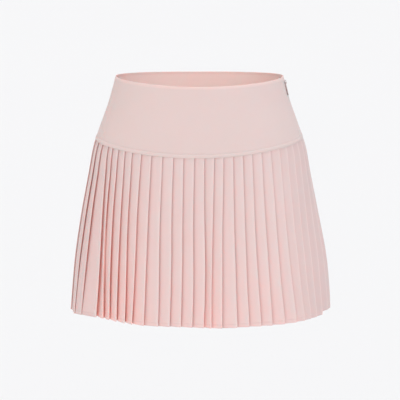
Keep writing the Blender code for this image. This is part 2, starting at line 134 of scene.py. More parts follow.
class Form:
    """The skirt's outer form and the lines round it, in millimetres."""

    # How finely an outline is measured, and into how many columns it is cut.
    ANGLES = 720
    COLUMNS = 16 * PLEATS
    # Each line's height at the sides, and how far it dips in the middle of the front and of the back.
    SEAM_HEIGHT = -95.2
    HEM_HEIGHT = -371.5
    WAIST_DIPS = (9.0, 2.0)
    SEAM_DIPS = (20.6, 8.0)
    HEM_DIPS = (4.5, 1.0)
    DIP_POWER = 1.5
    SEAM_SLANT = 1.2
    NORMAL_STEP = 0.25
    LAST_ROW = 1.001

    def __init__(self) -> None:
        """Measure every outline, one for each millimetre of drop."""
        self.first = math.ceil(SECTIONS[0].drop)
        drops = range(self.first, math.floor(SECTIONS[-1].drop) + 1)
        outlines = [self._outline(self._section(float(drop))) for drop in drops]
        self.grid = np.array([outline for outline, _ in outlines])
        self.girths = np.array([girth for _, girth in outlines])

    @staticmethod
    def _section(drop: float) -> Section:
        """The section at a drop, on a smooth curve through the table's rows.

        Args:
            drop: how far below the waist it is.

        Returns:
            The section there.
        """
        last = len(SECTIONS) - 2
        row = max(k for k in range(last + 1) if k == 0 or SECTIONS[k].drop <= drop)
        before, start = SECTIONS[max(row - 1, 0)], SECTIONS[row]
        end, after = SECTIONS[row + 1], SECTIONS[min(row + 2, last + 1)]
        span = end.drop - start.drop
        u = (drop - start.drop) / span
        values = [drop]
        for field in Section._fields[1:]:
            p, q = getattr(start, field), getattr(end, field)
            leave = (q - getattr(before, field)) / (end.drop - before.drop) * span
            arrive = (getattr(after, field) - p) / (after.drop - start.drop) * span
            values.append(
                (2 * u**3 - 3 * u**2 + 1) * p
                + (u**3 - 2 * u**2 + u) * leave
                + (3 * u**2 - 2 * u**3) * q
                + (u**3 - u**2) * arrive
            )
        return Section(*values)

    def _outline(self, section: Section) -> tuple[np.ndarray, float]:
        """An outline's points at even steps of its own length.

        Args:
            section: the level section to follow.

        Returns:
            The points from half a turn before the front centre to half a turn after it, and the girth.
        """
        angle = 2 * np.pi * (np.arange(self.ANGLES + 1) / self.ANGLES - 0.5)
        across, ahead = np.sin(angle), np.cos(angle)
        power = 2 / section.squareness
        reach = np.where(ahead > 0, section.front, section.back)
        x = section.half_width * np.sign(across) * np.abs(across) ** power + section.sway
        y = -reach * np.sign(ahead) * np.abs(ahead) ** power
        along = np.concatenate([[0.0], np.cumsum(np.hypot(np.diff(x), np.diff(y)))])
        middle, girth = along[self.ANGLES // 2], along[-1]
        wanted = (middle + (np.arange(self.COLUMNS + 1) / self.COLUMNS - 0.5) * girth) % girth
        return np.stack([np.interp(wanted, along, x), np.interp(wanted, along, y)], -1), girth

    def flat(self, place: np.ndarray, height: np.ndarray) -> np.ndarray:
        """Points of the outer form, seen from above.

        Args:
            place: where they are round the skirt.
            height: how high they are.

        Returns:
            Their (x, y) pairs.
        """
        place, height = np.broadcast_arrays(np.asarray(place, float), np.asarray(height, float))
        column = (place / PLEATS + 0.5) % 1.0 * self.COLUMNS
        row = np.clip(-height - self.first, 0, len(self.grid) - self.LAST_ROW)
        c, r = column.astype(int) % self.COLUMNS, row.astype(int)
        u, v = (column - np.floor(column))[..., None], (row - r)[..., None]
        top = self.grid[r, c] * (1 - u) + self.grid[r, c + 1] * u
        foot = self.grid[r + 1, c] * (1 - u) + self.grid[r + 1, c + 1] * u
        return top * (1 - v) + foot * v

    def outward(self, place: np.ndarray, height: np.ndarray) -> np.ndarray:
        """The level directions out of the form.

        Args:
            place: where they are round the skirt.
            height: how high they are.

        Returns:
            Unit (x, y) vectors.
        """
        place = np.asarray(place, float)
        way = self.flat(place + self.NORMAL_STEP, height) - self.flat(place - self.NORMAL_STEP, height)
        way /= np.linalg.norm(way, axis=-1, keepdims=True)
        return np.stack([way[..., 1], -way[..., 0]], -1)

    def point(self, place: np.ndarray, height: np.ndarray, out: np.ndarray) -> np.ndarray:
        """Points at a distance from the outer form.

        Args:
            place: where they are round the skirt.
            height: how high they are.
            out: how far out from the form they are, on the level.

        Returns:
            Their (x, y, z) triples.
        """
        place, height, out = np.broadcast_arrays(*(np.asarray(part, float) for part in (place, height, out)))
        flat = self.flat(place, height) + out[..., None] * self.outward(place, height)
        return np.concatenate([flat, height[..., None]], -1)

    def pitch(self, height: np.ndarray) -> np.ndarray:
        """How many millimetres one pleat takes of the girth at heights."""
        drops = self.first + np.arange(len(self.girths))
        return np.interp(-np.asarray(height, float), drops, self.girths) / PLEATS

    def _dip(self, place: np.ndarray, dips: tuple[float, float]) -> np.ndarray:
        """How far a line hangs below its height at the sides.

        Args:
            place: where, round the skirt.
            dips: how far it hangs at the front centre and at the back centre.

        Returns:
            The dips at those places.
        """
        turn = np.cos(2 * np.pi * np.asarray(place, float) / PLEATS)
        front = dips[0] * np.maximum(turn, 0) ** self.DIP_POWER
        return front + dips[1] * np.maximum(-turn, 0) ** self.DIP_POWER

    def waist(self, place: np.ndarray) -> np.ndarray:
        """The heights of the waist edge at places."""
        return -self._dip(place, self.WAIST_DIPS)

    def seam(self, place: np.ndarray) -> np.ndarray:
        """The heights of the seam between yoke and pleats at places."""
        slant = self.SEAM_SLANT * np.sin(2 * np.pi * np.asarray(place, float) / PLEATS)
        return self.SEAM_HEIGHT - self._dip(place, self.SEAM_DIPS) + slant

    def hem(self, place: np.ndarray) -> np.ndarray:
        """The hem's line.

        Args:
            place: where, round the skirt.

        Returns:
            The hem's heights at those places.
        """
        height = self.HEM_HEIGHT - self._dip(place, self.HEM_DIPS)
        around = (np.asarray(place, float) + PLEATS / 2) % PLEATS - PLEATS / 2
        for swing in HEM_SWINGS:
            height = height + swing.lift * np.exp(-(((around - swing.place) / swing.spread) ** 2))
        return height


# ---- materials


class Value:
    """A number that varies over a surface. Python's operators add Math nodes to it."""

    def __init__(self, painter: "Painter", socket: NodeSocket) -> None:
        """Wrap an output socket of a painter's material."""
        self.painter = painter
        self.socket = socket

    def _math(self, operation: str, *numbers: "Value | float") -> "Value":
        """A Math node over this value's tree."""
        node = self.painter.node("ShaderNodeMath", {"operation": operation}, dict(enumerate(numbers)))
        return Value(self.painter, node.outputs[0])

    def __add__(self, other: "Value | float") -> "Value":
        """This value plus another."""
        return self._math("ADD", self, other)

    __radd__ = __add__

    def __mul__(self, other: "Value | float") -> "Value":
        """This value times another."""
        return self._math("MULTIPLY", self, other)

    __rmul__ = __mul__

    def __sub__(self, other: "Value | float") -> "Value":
        """This value less another."""
        return self._math("SUBTRACT", self, other)

    def __rsub__(self, other: float) -> "Value":
        """A number less this value."""
        return self._math("SUBTRACT", other, self)

    def sine(self) -> "Value":
        """The sine of this value."""
        return self._math("SINE", self)

    def clamped(self) -> "Value":
        """This value held between 0 and 1."""
        return self._math("MINIMUM", self._math("MAXIMUM", self, 0.0), 1.0)


class Tree:
    """A node tree that is built a node at a time."""

    def __init__(self, tree: NodeTree) -> None:
        """Take the tree to build in."""
        self.tree = tree

    def node(self, kind: str, settings: dict[str, object], sockets: dict) -> Node:
        """Add a node.

        Args:
            kind: the node's type.
            settings: its own settings, set before its sockets.
            sockets: values, wrapped values or output sockets for its inputs, by name or number.

        Returns:
            The new node.
        """
        made = self.tree.nodes.new(kind)
        for name, value in settings.items():
            setattr(made, name, value)
        self.feed(made, sockets)
        return made

    def feed(self, node: Node, sockets: dict) -> None:
        """Set or link a node's inputs.

        Args:
            node: the node.
            sockets: values, wrapped values or output sockets for its inputs, by name or number.
        """
        for key, value in sockets.items():
            source = value.socket if isinstance(value, Value) else value
            if isinstance(source, NodeSocket):
                self.tree.links.new(source, node.inputs[key])
            else:
                node.inputs[key].default_value = source


class Painter(Tree):
    """Builds the nodes of one material."""

    # A colour mix's sockets by number, because its other sockets share their names.
    FIRST_COLOUR, SECOND_COLOUR, MIXED_COLOUR = 6, 7, 2

    def __init__(self, name: str) -> None:
        """Start a material with its Principled shader alone.

        Args:
            name: the material's name.
        """
        self.material = bpy.data.materials.new(name)
        self.material.use_nodes = True
        super().__init__(self.material.node_tree)
        self.shader = self.tree.nodes["Principled BSDF"]

    def here(self) -> NodeSocket:
        """The place on the piece, in metres."""
        return self.node("ShaderNodeTexCoord", {}, {}).outputs["Object"]

    def parts(self, vector: NodeSocket, axes: str) -> list[Value]:
        """A vector's numbers along some of its axes."""
        split = self.node("ShaderNodeSeparateXYZ", {}, {0: vector})
        return [Value(self, split.outputs[axis]) for axis in axes]

    def value(self, kind: str, output: str, settings: dict[str, object], sockets: dict) -> Value:
        """A new node's output as a value."""
        return Value(self, self.node(kind, settings, sockets).outputs[output])

    def attribute(self, name: str) -> Value:
        """A number kept at a mesh's own points."""
        return self.value("ShaderNodeAttribute", "Fac", {"attribute_name": name}, {})

    def noise(self, scale: float, detail: float, where: NodeSocket) -> Value:
        """Soft noise from 0 to 1, so many lumps to the metre."""
        sockets = {"Vector": where, "Scale": scale, "Detail": detail}
        return self.value("ShaderNodeTexNoise", "Fac", {}, sockets)

    def blend(self, share: Value, first: object, second: object) -> NodeSocket:
        """Two colours mixed by a share.

        Args:
            share: how much of the second colour there is, from 0 to 1.
            first: a colour or its socket.
            second: another.

        Returns:
            The mixed colour's socket.
        """
        sockets = {"Factor": share, self.FIRST_COLOUR: first, self.SECOND_COLOUR: second}
        return self.node("ShaderNodeMix", {"data_type": "RGBA"}, sockets).outputs[self.MIXED_COLOUR]

    def bump(self, height: Value, distance: float, strength: float) -> NodeSocket:
        """A normal from heights of 0 to 1, at a distance in metres."""
        sockets = {"Height": height, "Distance": distance, "Strength": strength}
        return self.node("ShaderNodeBump", {}, sockets).outputs["Normal"]


@dataclass(frozen=True)
class ClothFinish:
    """A fine plain-woven cloth, matt with a slight bloom.

    Attributes:
        name: the material's name.
        face: colour of its outer side.
        shaded: painted shade on its outer side close to where it goes under a fold.
        flushed: the same painted shade beside wide folds, where cloth throws light on cloth.
        deep: painted shade and bounced light inside folds and on its reverse; its flecks take this colour
            too.
        glowing: painted light on faces beside wide folds, thrown by the cloth beside them.
        pressed: painted highlight along pressed edges, and the tint of its bloom.
        thread: spacing of its threads in millimetres.
        relief: depth of its weave in millimetres.
        sheen: how much bloom it has.
        glow_depth: how far light bleeds through the cloth, in millimetres.
    """

    name: str
    face: Colour
    shaded: Colour
    flushed: Colour
    deep: Colour
    glowing: Colour
    pressed: Colour
    thread: float = 0.42
    relief: float = 0.05
    sheen: float = 0.12
    glow_depth: float = 1.5

    MOTTLE_LUMPS = 26.0
    SLUB_LUMPS = 900.0
    NOISE_DETAIL = 2.0
    # How much each pattern and each pressed edge's painted highlight tells in the colour, and how flecked the
    # cloth is at least.
    MOTTLE_TINT = 0.1
    CREASE_HIGHLIGHT = 0.5
    SLUB_TINT = 0.1
    WEAVE_TINT = 0.05
    LEAST_FLECK = 0.03
    # How rough it is, how much its slubs add to that and how much its pressed edges take away.
    ROUGHNESS = 0.76
    SLUB_ROUGHNESS = 0.12
    CREASE_GLOSS = 0.06
    # How much of the relief is the weave's and how much the slubs', and how strongly it shows.
    WEAVE_RELIEF = 0.7
    SLUB_RELIEF = 0.3
    RELIEF_STRENGTH = 0.5
    SHEEN_ROUGHNESS = 0.45
    SPECULAR = 0.25
    # How much light bleeds through it, and how far each colour of light does.
    BLEED = 0.5
    BLEED_REACH = (1.0, 0.4, 0.35)

    def material(self) -> Material:
        """Make the material: weave from the cloth's own map, mottle from its place.

        A recess of up to a half paints shade on the face, and beyond that it turns to the deep colour of
        painted shade and bounced light. The glow paints light thrown by the cloth beside, and a crease paints
        a highlight.

        Returns:
            The material.
        """
        paint = Painter(self.name)
        here = paint.here()
        chart = paint.node("ShaderNodeUVMap", {"uv_map": CLOTH_MAP}, {}).outputs["UV"]
        turns = 2 * math.pi / (self.thread * MM)
        weft, warp = ((part * turns).sine() for part in paint.parts(chart, "XY"))
        weave = weft * warp * 0.5 + 0.5
        mottle = paint.noise(self.MOTTLE_LUMPS, self.NOISE_DETAIL, here)
        slub = paint.noise(self.SLUB_LUMPS, self.NOISE_DETAIL, here)
        recess, crease, glow = (paint.attribute(name) for name in ("recess", "crease", "glow"))
        recess = recess * 2.0
        # Painted light and shade: light thrown by the cloth beside, shade by the recess, shade and bounced
        # light deep in folds, highlights along creases.
        shade = paint.blend(glow, self.shaded, self.flushed)
        colour = paint.blend(glow, self.face, self.glowing)
        colour = paint.blend((recess + (mottle - 0.5) * self.MOTTLE_TINT).clamped(), colour, shade)
        colour = paint.blend((recess - 1.0).clamped(), colour, self.deep)
        colour = paint.blend(crease * self.CREASE_HIGHLIGHT, colour, self.pressed)
        fleck = (slub - 0.5) * self.SLUB_TINT + (weave - 0.5) * self.WEAVE_TINT + self.LEAST_FLECK
        rough = slub * self.SLUB_ROUGHNESS + self.ROUGHNESS - crease * self.CREASE_GLOSS
        relief = weave * self.WEAVE_RELIEF + slub * self.SLUB_RELIEF
        paint.feed(
            paint.shader,
            {
                "Base Color": paint.blend(fleck.clamped(), colour, self.deep),
                "Roughness": rough.clamped(),
                "Normal": paint.bump(relief, self.relief * MM, self.RELIEF_STRENGTH),
                "Sheen Weight": self.sheen,
                "Sheen Roughness": self.SHEEN_ROUGHNESS,
                "Sheen Tint": self.pressed,
                "Specular IOR Level": self.SPECULAR,
                "Subsurface Weight": self.BLEED,
                "Subsurface Radius": self.BLEED_REACH,
                "Subsurface Scale": self.glow_depth * MM,
            },
        )
        return paint.material


@dataclass(frozen=True)
class ThreadFinish:
    """A twisted sewing thread, or the wound filament of a zip's coil.

    Attributes:
        name: the material's name.
        colour: its colour.
        shadow: painted shadow between its plies, and the darker tone of its fuzz.
        twist: spacing of its plies in millimetres.
    """

    name: str
    colour: Colour
    shadow: Colour
    twist: float = 0.35

    FUZZ_LUMPS = 2400.0
    PLY_RELIEF = 0.04
    RELIEF_STRENGTH = 0.4
    # How rough it is at least, and how much its fuzz adds.
    ROUGHNESS = 0.5
    FUZZ_ROUGHNESS = 0.15

    def material(self) -> Material:
        """Make the material, with painted shadow between the plies of a fine twist, over a soft mottle.

        Returns:
            The material.
        """
        paint = Painter(self.name)
        here = paint.here()
        across, up = paint.parts(here, "XZ")
        ply = ((across + up) * (2 * math.pi / (self.twist * MM))).sine() * 0.5 + 0.5
        fuzz = paint.noise(self.FUZZ_LUMPS, 1.0, here)
        paint.feed(
            paint.shader,
            {
                "Base Color": paint.blend((ply * 0.5 + fuzz * 0.5).clamped(), self.colour, self.shadow),
                "Roughness": fuzz * self.FUZZ_ROUGHNESS + self.ROUGHNESS,
                "Normal": paint.bump(ply, self.PLY_RELIEF * MM, self.RELIEF_STRENGTH),
            },
        )
        return paint.material


@dataclass(frozen=True)
class MetalFinish:
    """A lacquered die-cast metal, tinted like the cloth and worn at its rubbed places.

    Attributes:
        name: the material's name.
        colour: its lacquer.
        worn: the bare metal where it has rubbed.
    """

    name: str
    colour: Colour
    worn: Colour

    GRAIN_LUMPS = 1800.0
    PATCH_LUMPS = 900.0
    NOISE_DETAIL = 3.0
    GRAIN_RELIEF = 0.03
    RELIEF_STRENGTH = 0.35
    # The noise above which the lacquer is worn, how soon it is, and how much of the bare metal then shows.
    WORN_ABOVE = 0.56
    WORN_SLOPE = 5.0
    WORN_TINT = 0.3
    # How metallic and how rough it is at least, and how much wear and grain add.
    METALLIC = 0.75
    WORN_METALLIC = 0.2
    ROUGHNESS = 0.28
    GRAIN_ROUGHNESS = 0.2

    def material(self) -> Material:
        """Make the material, with faint casting grain and patchy wear.

        Returns:
            The material.
        """
        paint = Painter(self.name)
        here = paint.here()
        grain = paint.noise(self.GRAIN_LUMPS, self.NOISE_DETAIL, here)
        patches = paint.noise(self.PATCH_LUMPS, self.NOISE_DETAIL, here)
        worn = ((patches - self.WORN_ABOVE) * self.WORN_SLOPE).clamped()
        paint.feed(
            paint.shader,
            {
                "Base Color": paint.blend(worn * self.WORN_TINT, self.colour, self.worn),
                "Metallic": worn * self.WORN_METALLIC + self.METALLIC,
                "Roughness": grain * self.GRAIN_ROUGHNESS + self.ROUGHNESS,
                "Normal": paint.bump(grain, self.GRAIN_RELIEF * MM, self.RELIEF_STRENGTH),
            },
        )
        return paint.material


@dataclass(frozen=True)
class FloorFinish:
    """A plain pale studio floor.

    Attributes:
        name: the material's name.
        shade: how pale it is, from 0 to 1.
        dulled: how much less pale its mottle is.
    """

    name: str
    shade: float
    dulled: float = 0.006

    MOTTLE_LUMPS = 0.4

    def material(self) -> Material:
        """Make the material, matt and even but for a faint mottle.

        Returns:
            The material.
        """
        paint = Painter(self.name)
        mottle = paint.noise(self.MOTTLE_LUMPS, 1.0, paint.here())
        pale, dull = ((grey, grey, grey, 1.0) for grey in (self.shade, self.shade - self.dulled))
        sockets = {"Base Color": paint.blend(mottle, pale, dull), "Roughness": 1.0, "Specular IOR Level": 0.0}
        paint.feed(paint.shader, sockets)
        return paint.material


# In each cloth the shaded, flushed and deep colours are painted shade and bounced light, glowing is painted
# light and the edge colour a painted highlight.
YOKE_FINISH = ClothFinish(
    name="yoke cloth",
    face=(0.685, 0.552, 0.526, 1.0),
    shaded=(0.62, 0.48, 0.45, 1.0),
    flushed=(0.66, 0.50, 0.46, 1.0),
    deep=(0.90, 0.74, 0.69, 1.0),
    glowing=(0.80, 0.63, 0.60, 1.0),
    pressed=(0.80, 0.60, 0.56, 1.0),
)
PLEAT_FINISH = ClothFinish(
    name="pleat cloth",
    face=(0.737, 0.568, 0.546, 1.0),
    shaded=(0.55, 0.40, 0.385, 1.0),
    flushed=(0.72, 0.46, 0.43, 1.0),
    deep=(0.96, 0.55, 0.49, 1.0),
    glowing=(0.855, 0.595, 0.56, 1.0),
    pressed=(0.80, 0.64, 0.615, 1.0),
)
TAPE_FINISH = ClothFinish(
    name="zip tape cloth",
    face=(0.74, 0.55, 0.52, 1.0),
    shaded=(0.68, 0.48, 0.45, 1.0),
    flushed=(0.68, 0.48, 0.45, 1.0),
    deep=(0.66, 0.42, 0.40, 1.0),
    glowing=(0.76, 0.56, 0.53, 1.0),
    pressed=(0.80, 0.63, 0.60, 1.0),
    thread=0.9,
    relief=0.12,
)
# The thread's and the coil's shadow colours are painted shadow between their plies.
THREAD_FINISH = ThreadFinish(
    name="sewing thread", colour=(0.74, 0.59, 0.56, 1.0), shadow=(0.64, 0.48, 0.45, 1.0)
)
TEETH_FINISH = ThreadFinish(
    name="zip coil", colour=(0.70, 0.54, 0.51, 1.0), shadow=(0.58, 0.42, 0.40, 1.0), twist=0.8
)
METAL_FINISH = MetalFinish(
    name="zip metal", colour=(0.46, 0.34, 0.33, 1.0), worn=(0.66, 0.56, 0.53, 1.0)
)


# ---- meshes


def link(name: str, mesh: Mesh, finish: Material) -> Object:
    """Put a mesh in the scene, with its material.

    Args:
        name: the object's name.
        mesh: its mesh.
        finish: its material.

    Returns:
        The object, at the origin.
    """
    thing = bpy.data.objects.new(name, mesh)
    mesh.materials.clear()
    mesh.materials.append(finish)
    bpy.context.scene.collection.objects.link(thing)
    return thing


def plain_mesh(thing: Object) -> Mesh:
    """What an object's modifiers or curves come to, as a plain mesh."""
    seen = thing.evaluated_get(bpy.context.evaluated_depsgraph_get())
    return bpy.data.meshes.new_from_object(seen)


def keep(name: str, thing: Object, slot: Slot, body: Body, *nodes: str) -> Object:
    """Name a finished piece, let it ride and hide the solids that it stands for.

    Args:
        name: the piece's name.
        thing: the piece.
        slot: its material slot; not used.
        body: the body that it rides on.
        nodes: the solids that it replaces.

    Returns:
        The piece.
    """
    thing.name = name
    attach(thing, body.value)
    if nodes:
        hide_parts(*nodes)
    log.info("%s: %d faces", name, len(thing.data.polygons))
    return thing


@dataclass
class Shell:
    """A closed cloth wall between two grids of points, in rows from the top down.

    Attributes:
        outer: the outer face, rows by columns by 3, in millimetres.
        inner: the inner face, alike.
        across: each column's distance along the cloth, in millimetres.
        down: each row's distance down the cloth, in millimetres.
        recess: how far inside a fold each point is, from 0 to 1, which sets its painted shade.
        crease: how near a pressed edge each point is, from 0 to 1, which sets its painted highlight.
        reverse: the least recess of the inner face, which paints shade and bounced light on it.
        glow: how much light the cloth beside each point throws on it, from 0 to 1.
    """

    outer: np.ndarray
    inner: np.ndarray
    across: np.ndarray
    down: np.ndarray
    recess: np.ndarray | float
    crease: np.ndarray | float
    reverse: float = 0.0
    glow: np.ndarray | float = 0.0

    SHARP = math.radians(55)

    def _faces(self) -> list[tuple[int, int, int, int]]:
        """Join the points.

        Returns:
            The quads of both faces and of the four edges, all facing out of the wall.
        """
        rows, columns = self.outer.shape[:2]
        behind = rows * columns
        quads = []
        for r in range(rows - 1):
            for c in range(columns - 1):
                a = r * columns + c
                b, d, e = a + 1, a + columns, a + columns + 1
                quads.append((a, d, e, b))
                quads.append((behind + a, behind + b, behind + e, behind + d))
            a, d = r * columns, (r + 1) * columns
            quads.append((a, behind + a, behind + d, d))
            a, d = a + columns - 1, d + columns - 1
            quads.append((a, d, behind + d, behind + a))
        last = (rows - 1) * columns
        for c in range(columns - 1):
            quads.append((c, c + 1, behind + c + 1, behind + c))
            quads.append((last + c, behind + last + c, behind + last + c + 1, last + c + 1))
        return quads

    def mesh(self, name: str) -> Mesh:
        """Build the mesh, with its cloth map and its attributes.

        Args:
            name: the mesh's name.

        Returns:
            The closed mesh.
        """
        size = self.outer.shape[:2]
        points = np.concatenate([self.outer.reshape(-1, 3), self.inner.reshape(-1, 3)]) * MM
        made = bpy.data.meshes.new(name)
        made.from_pydata(points.tolist(), [], self._faces())
        across, down = (np.broadcast_to(part, size).reshape(-1) for part in (self.across, self.down))
        chart = np.tile(np.stack([across, down], -1), (2, 1)) * MM
        loops = np.zeros(len(made.loops), np.int32)
        made.loops.foreach_get("vertex_index", loops)
        layer = made.uv_layers.new(name=CLOTH_MAP)
        layer.uv.foreach_set("vector", chart[loops].astype(np.float32).reshape(-1))
        for label, values in (("recess", self.recess), ("crease", self.crease), ("glow", self.glow)):
            kept = np.broadcast_to(values, size).reshape(-1)
            # The inner face gets at least the reverse's recess: painted shade and bounced light.
            other = np.maximum(kept, self.reverse) if label == "recess" else kept
            attribute = made.attributes.new(label, "FLOAT", "POINT")
            attribute.data.foreach_set("value", np.concatenate([kept, other]).astype(np.float32))
        made.shade_smooth()
        made.set_sharp_from_angle(angle=self.SHARP)
        made.validate()
        return made


def along_rows(points: np.ndarray) -> np.ndarray:
    """Each point's distance along its row of a grid."""
    steps = np.linalg.norm(np.diff(points, axis=1), axis=-1)
    return np.concatenate([np.zeros((len(points), 1)), np.cumsum(steps, axis=1)], axis=1)


# ---- rows of small things


class Row(Tree):
    """A Geometry Nodes tree that sets small rounded beads along lines."""

    SOCKETS = {
        "Spacing": "NodeSocketFloat",
        "Size": "NodeSocketVector",
        "Turn": "NodeSocketRotation",
        "Finish": "NodeSocketMaterial",
    }
    BEAD = {"Segments": 6, "Rings": 4, "Radius": 0.5}

    def __init__(self) -> None:
        """Build the tree once."""
        super().__init__(bpy.data.node_groups.new("row of beads", "GeometryNodeTree"))
        face = self.tree.interface
        face.new_socket("Geometry", in_out="INPUT", socket_type="NodeSocketGeometry")
        face.new_socket("Geometry", in_out="OUTPUT", socket_type="NodeSocketGeometry")
        for name, kind in self.SOCKETS.items():
            face.new_socket(name, in_out="INPUT", socket_type=kind)
        given = self.node("NodeGroupInput", {}, {}).outputs
        line = self.made("GeometryNodeMeshToCurve", {}, {"Mesh": given["Geometry"]})
        even = {"Curve": line, "Length": given["Spacing"]}
        points = self.made("GeometryNodeResampleCurve", {"mode": "LENGTH"}, even)
        bead = self.made("GeometryNodeMeshUVSphere", {}, self.BEAD)
        smooth = self.made("GeometryNodeSetShadeSmooth", {}, {"Geometry": bead})
        facing = {"Rotation": given["Turn"], "Vector": self.made("GeometryNodeInputTangent", {}, {})}
        turn = self.made("FunctionNodeAlignRotationToVector", {"axis": "X"}, facing)
        placing = {"Points": points, "Instance": smooth, "Rotation": turn, "Scale": given["Size"]}
        placed = self.made("GeometryNodeInstanceOnPoints", {}, placing)
        real = self.made("GeometryNodeRealizeInstances", {}, {"Geometry": placed})
        dress = {"Geometry": real, "Material": given["Finish"]}
        self.node("NodeGroupOutput", {}, {"Geometry": self.made("GeometryNodeSetMaterial", {}, dress)})

    def made(self, kind: str, settings: dict[str, object], sockets: dict) -> NodeSocket:
        """The first output of a new node."""
        return self.node(kind, settings, sockets).outputs[0]

    def lay(
        self,
        name: str,
        lines: Iterable[np.ndarray],
        spacing: float,
        size: Triple,
        turn: Triple,
        finish: Material,
    ) -> Object:
        """Lay beads along lines and make them one plain mesh.

        Args:
            name: the new object's name.
            lines: open lines of points, in millimetres.
            spacing: from one bead to the next, in millimetres.
            size: a bead's length along its line, its width and its height, in millimetres.
            turn: how a bead is turned before it is lined up, as Euler angles.
            finish: the beads' material.

        Returns:
            The object, at the origin, with no modifier left.
        """
        points, edges = [], []
        for line in lines:
            edges += [(len(points) + k, len(points) + k + 1) for k in range(len(line) - 1)]
            points += (np.asarray(line) * MM).tolist()
        guide = bpy.data.meshes.new(name + " guide")
        guide.from_pydata(points, edges, [])
        thing = bpy.data.objects.new(name, guide)
        bpy.context.scene.collection.objects.link(thing)
        step = thing.modifiers.new("row", "NODES")
        step.node_group = self.tree
        sizes = {
            "Spacing": spacing * MM,
            "Size": tuple(part * MM for part in size),
            "Turn": turn,
            "Finish": finish,
        }
        for socket in self.tree.interface.items_tree:
            if socket.in_out == "INPUT" and socket.name in sizes:
                step[socket.identifier] = sizes[socket.name]
        thing.update_tag()
        mesh = plain_mesh(thing)
        thing.modifiers.clear()
        thing.data = mesh
        bpy.data.meshes.remove(guide)
        return thing


# ---- sewn cloth


class Stitching(NamedTuple):
    """A row of stitches: its lift above its edge, from one stitch to the next, and a stitch's size."""

    lift: float
    spacing: float
    size: Triple


@dataclass
class Sewn:
    """Cloth panels with a row of stitches on each.

    Attributes:
        row: the tree that lays the stitches.
        cloth: the panels' finish.
        thread: the stitches' finish.
        form: the skirt's outer form.
        SLOT: the panels' material slot.
        STITCHES: what the name of a row of stitches ends with.
        STITCHING: how those rows are sewn.
    """

    row: Row
    cloth: Material
    thread: Material
    form: Form

    SLOT: ClassVar[Slot]
    STITCHES: ClassVar[str]
    STITCHING: ClassVar[Stitching]

    def sew(self, node: str, shell: Shell, lines: list[np.ndarray]) -> dict[str, Object]:
        """Make a panel and its stitches.

        Args:
            node: the solid that the panel stands for.
            shell: the panel's wall.
            lines: where its stitches run.

        Returns:
            Both pieces by name.
        """
        name, beads = node + "_cloth", f"{node}_{self.STITCHES}"
        panel = link(name, shell.mesh(name), self.cloth)
        kept = keep(name, panel, self.SLOT, Body.SKIRT, node)
        _, spacing, size = self.STITCHING
        stitches = self.row.lay(beads, lines, spacing, size, (0, 0, 0), self.thread)
        return {name: kept, beads: keep(beads, stitches, self.SLOT, Body.SKIRT)}


# ---- yoke


class Line(NamedTuple):
    """A row of the yoke's wall: each face's lift above the row's height and distance out from the form."""

    lift: float
    outer: float
    inner_lift: float
    inner: float


class Rim(NamedTuple):
    """A row of the yoke's turned waist edge, as a drop and distances out from the form."""

    drop: float
    outer: float
    inner: float


class Course(NamedTuple):
    """A row of points of the yoke, all the way across a panel.

    It is a share of the way down from the waist to the pleats, and another along the side seams. Its line
    gives lifts above that height and distances out from the form. Its crease, from 0 to 1, sets a painted
    highlight.
    """

    down: float
    along: float
    line: Line
    crease: float = 0.0


class Dent(NamedTuple):
    """A soft dent or swell of the yoke: its middle, its reach each way and its height."""

    place: float
    share: float
    width: float
    length: float
    height: float


class Pinch(NamedTuple):
    """How far the yoke's cloth turns in at a distance from a side seam."""

    distance: float
    depth: float


class Parting(NamedTuple):
    """How far apart the yoke's panels are at the zip, at a drop."""

    drop: float
    gap: float


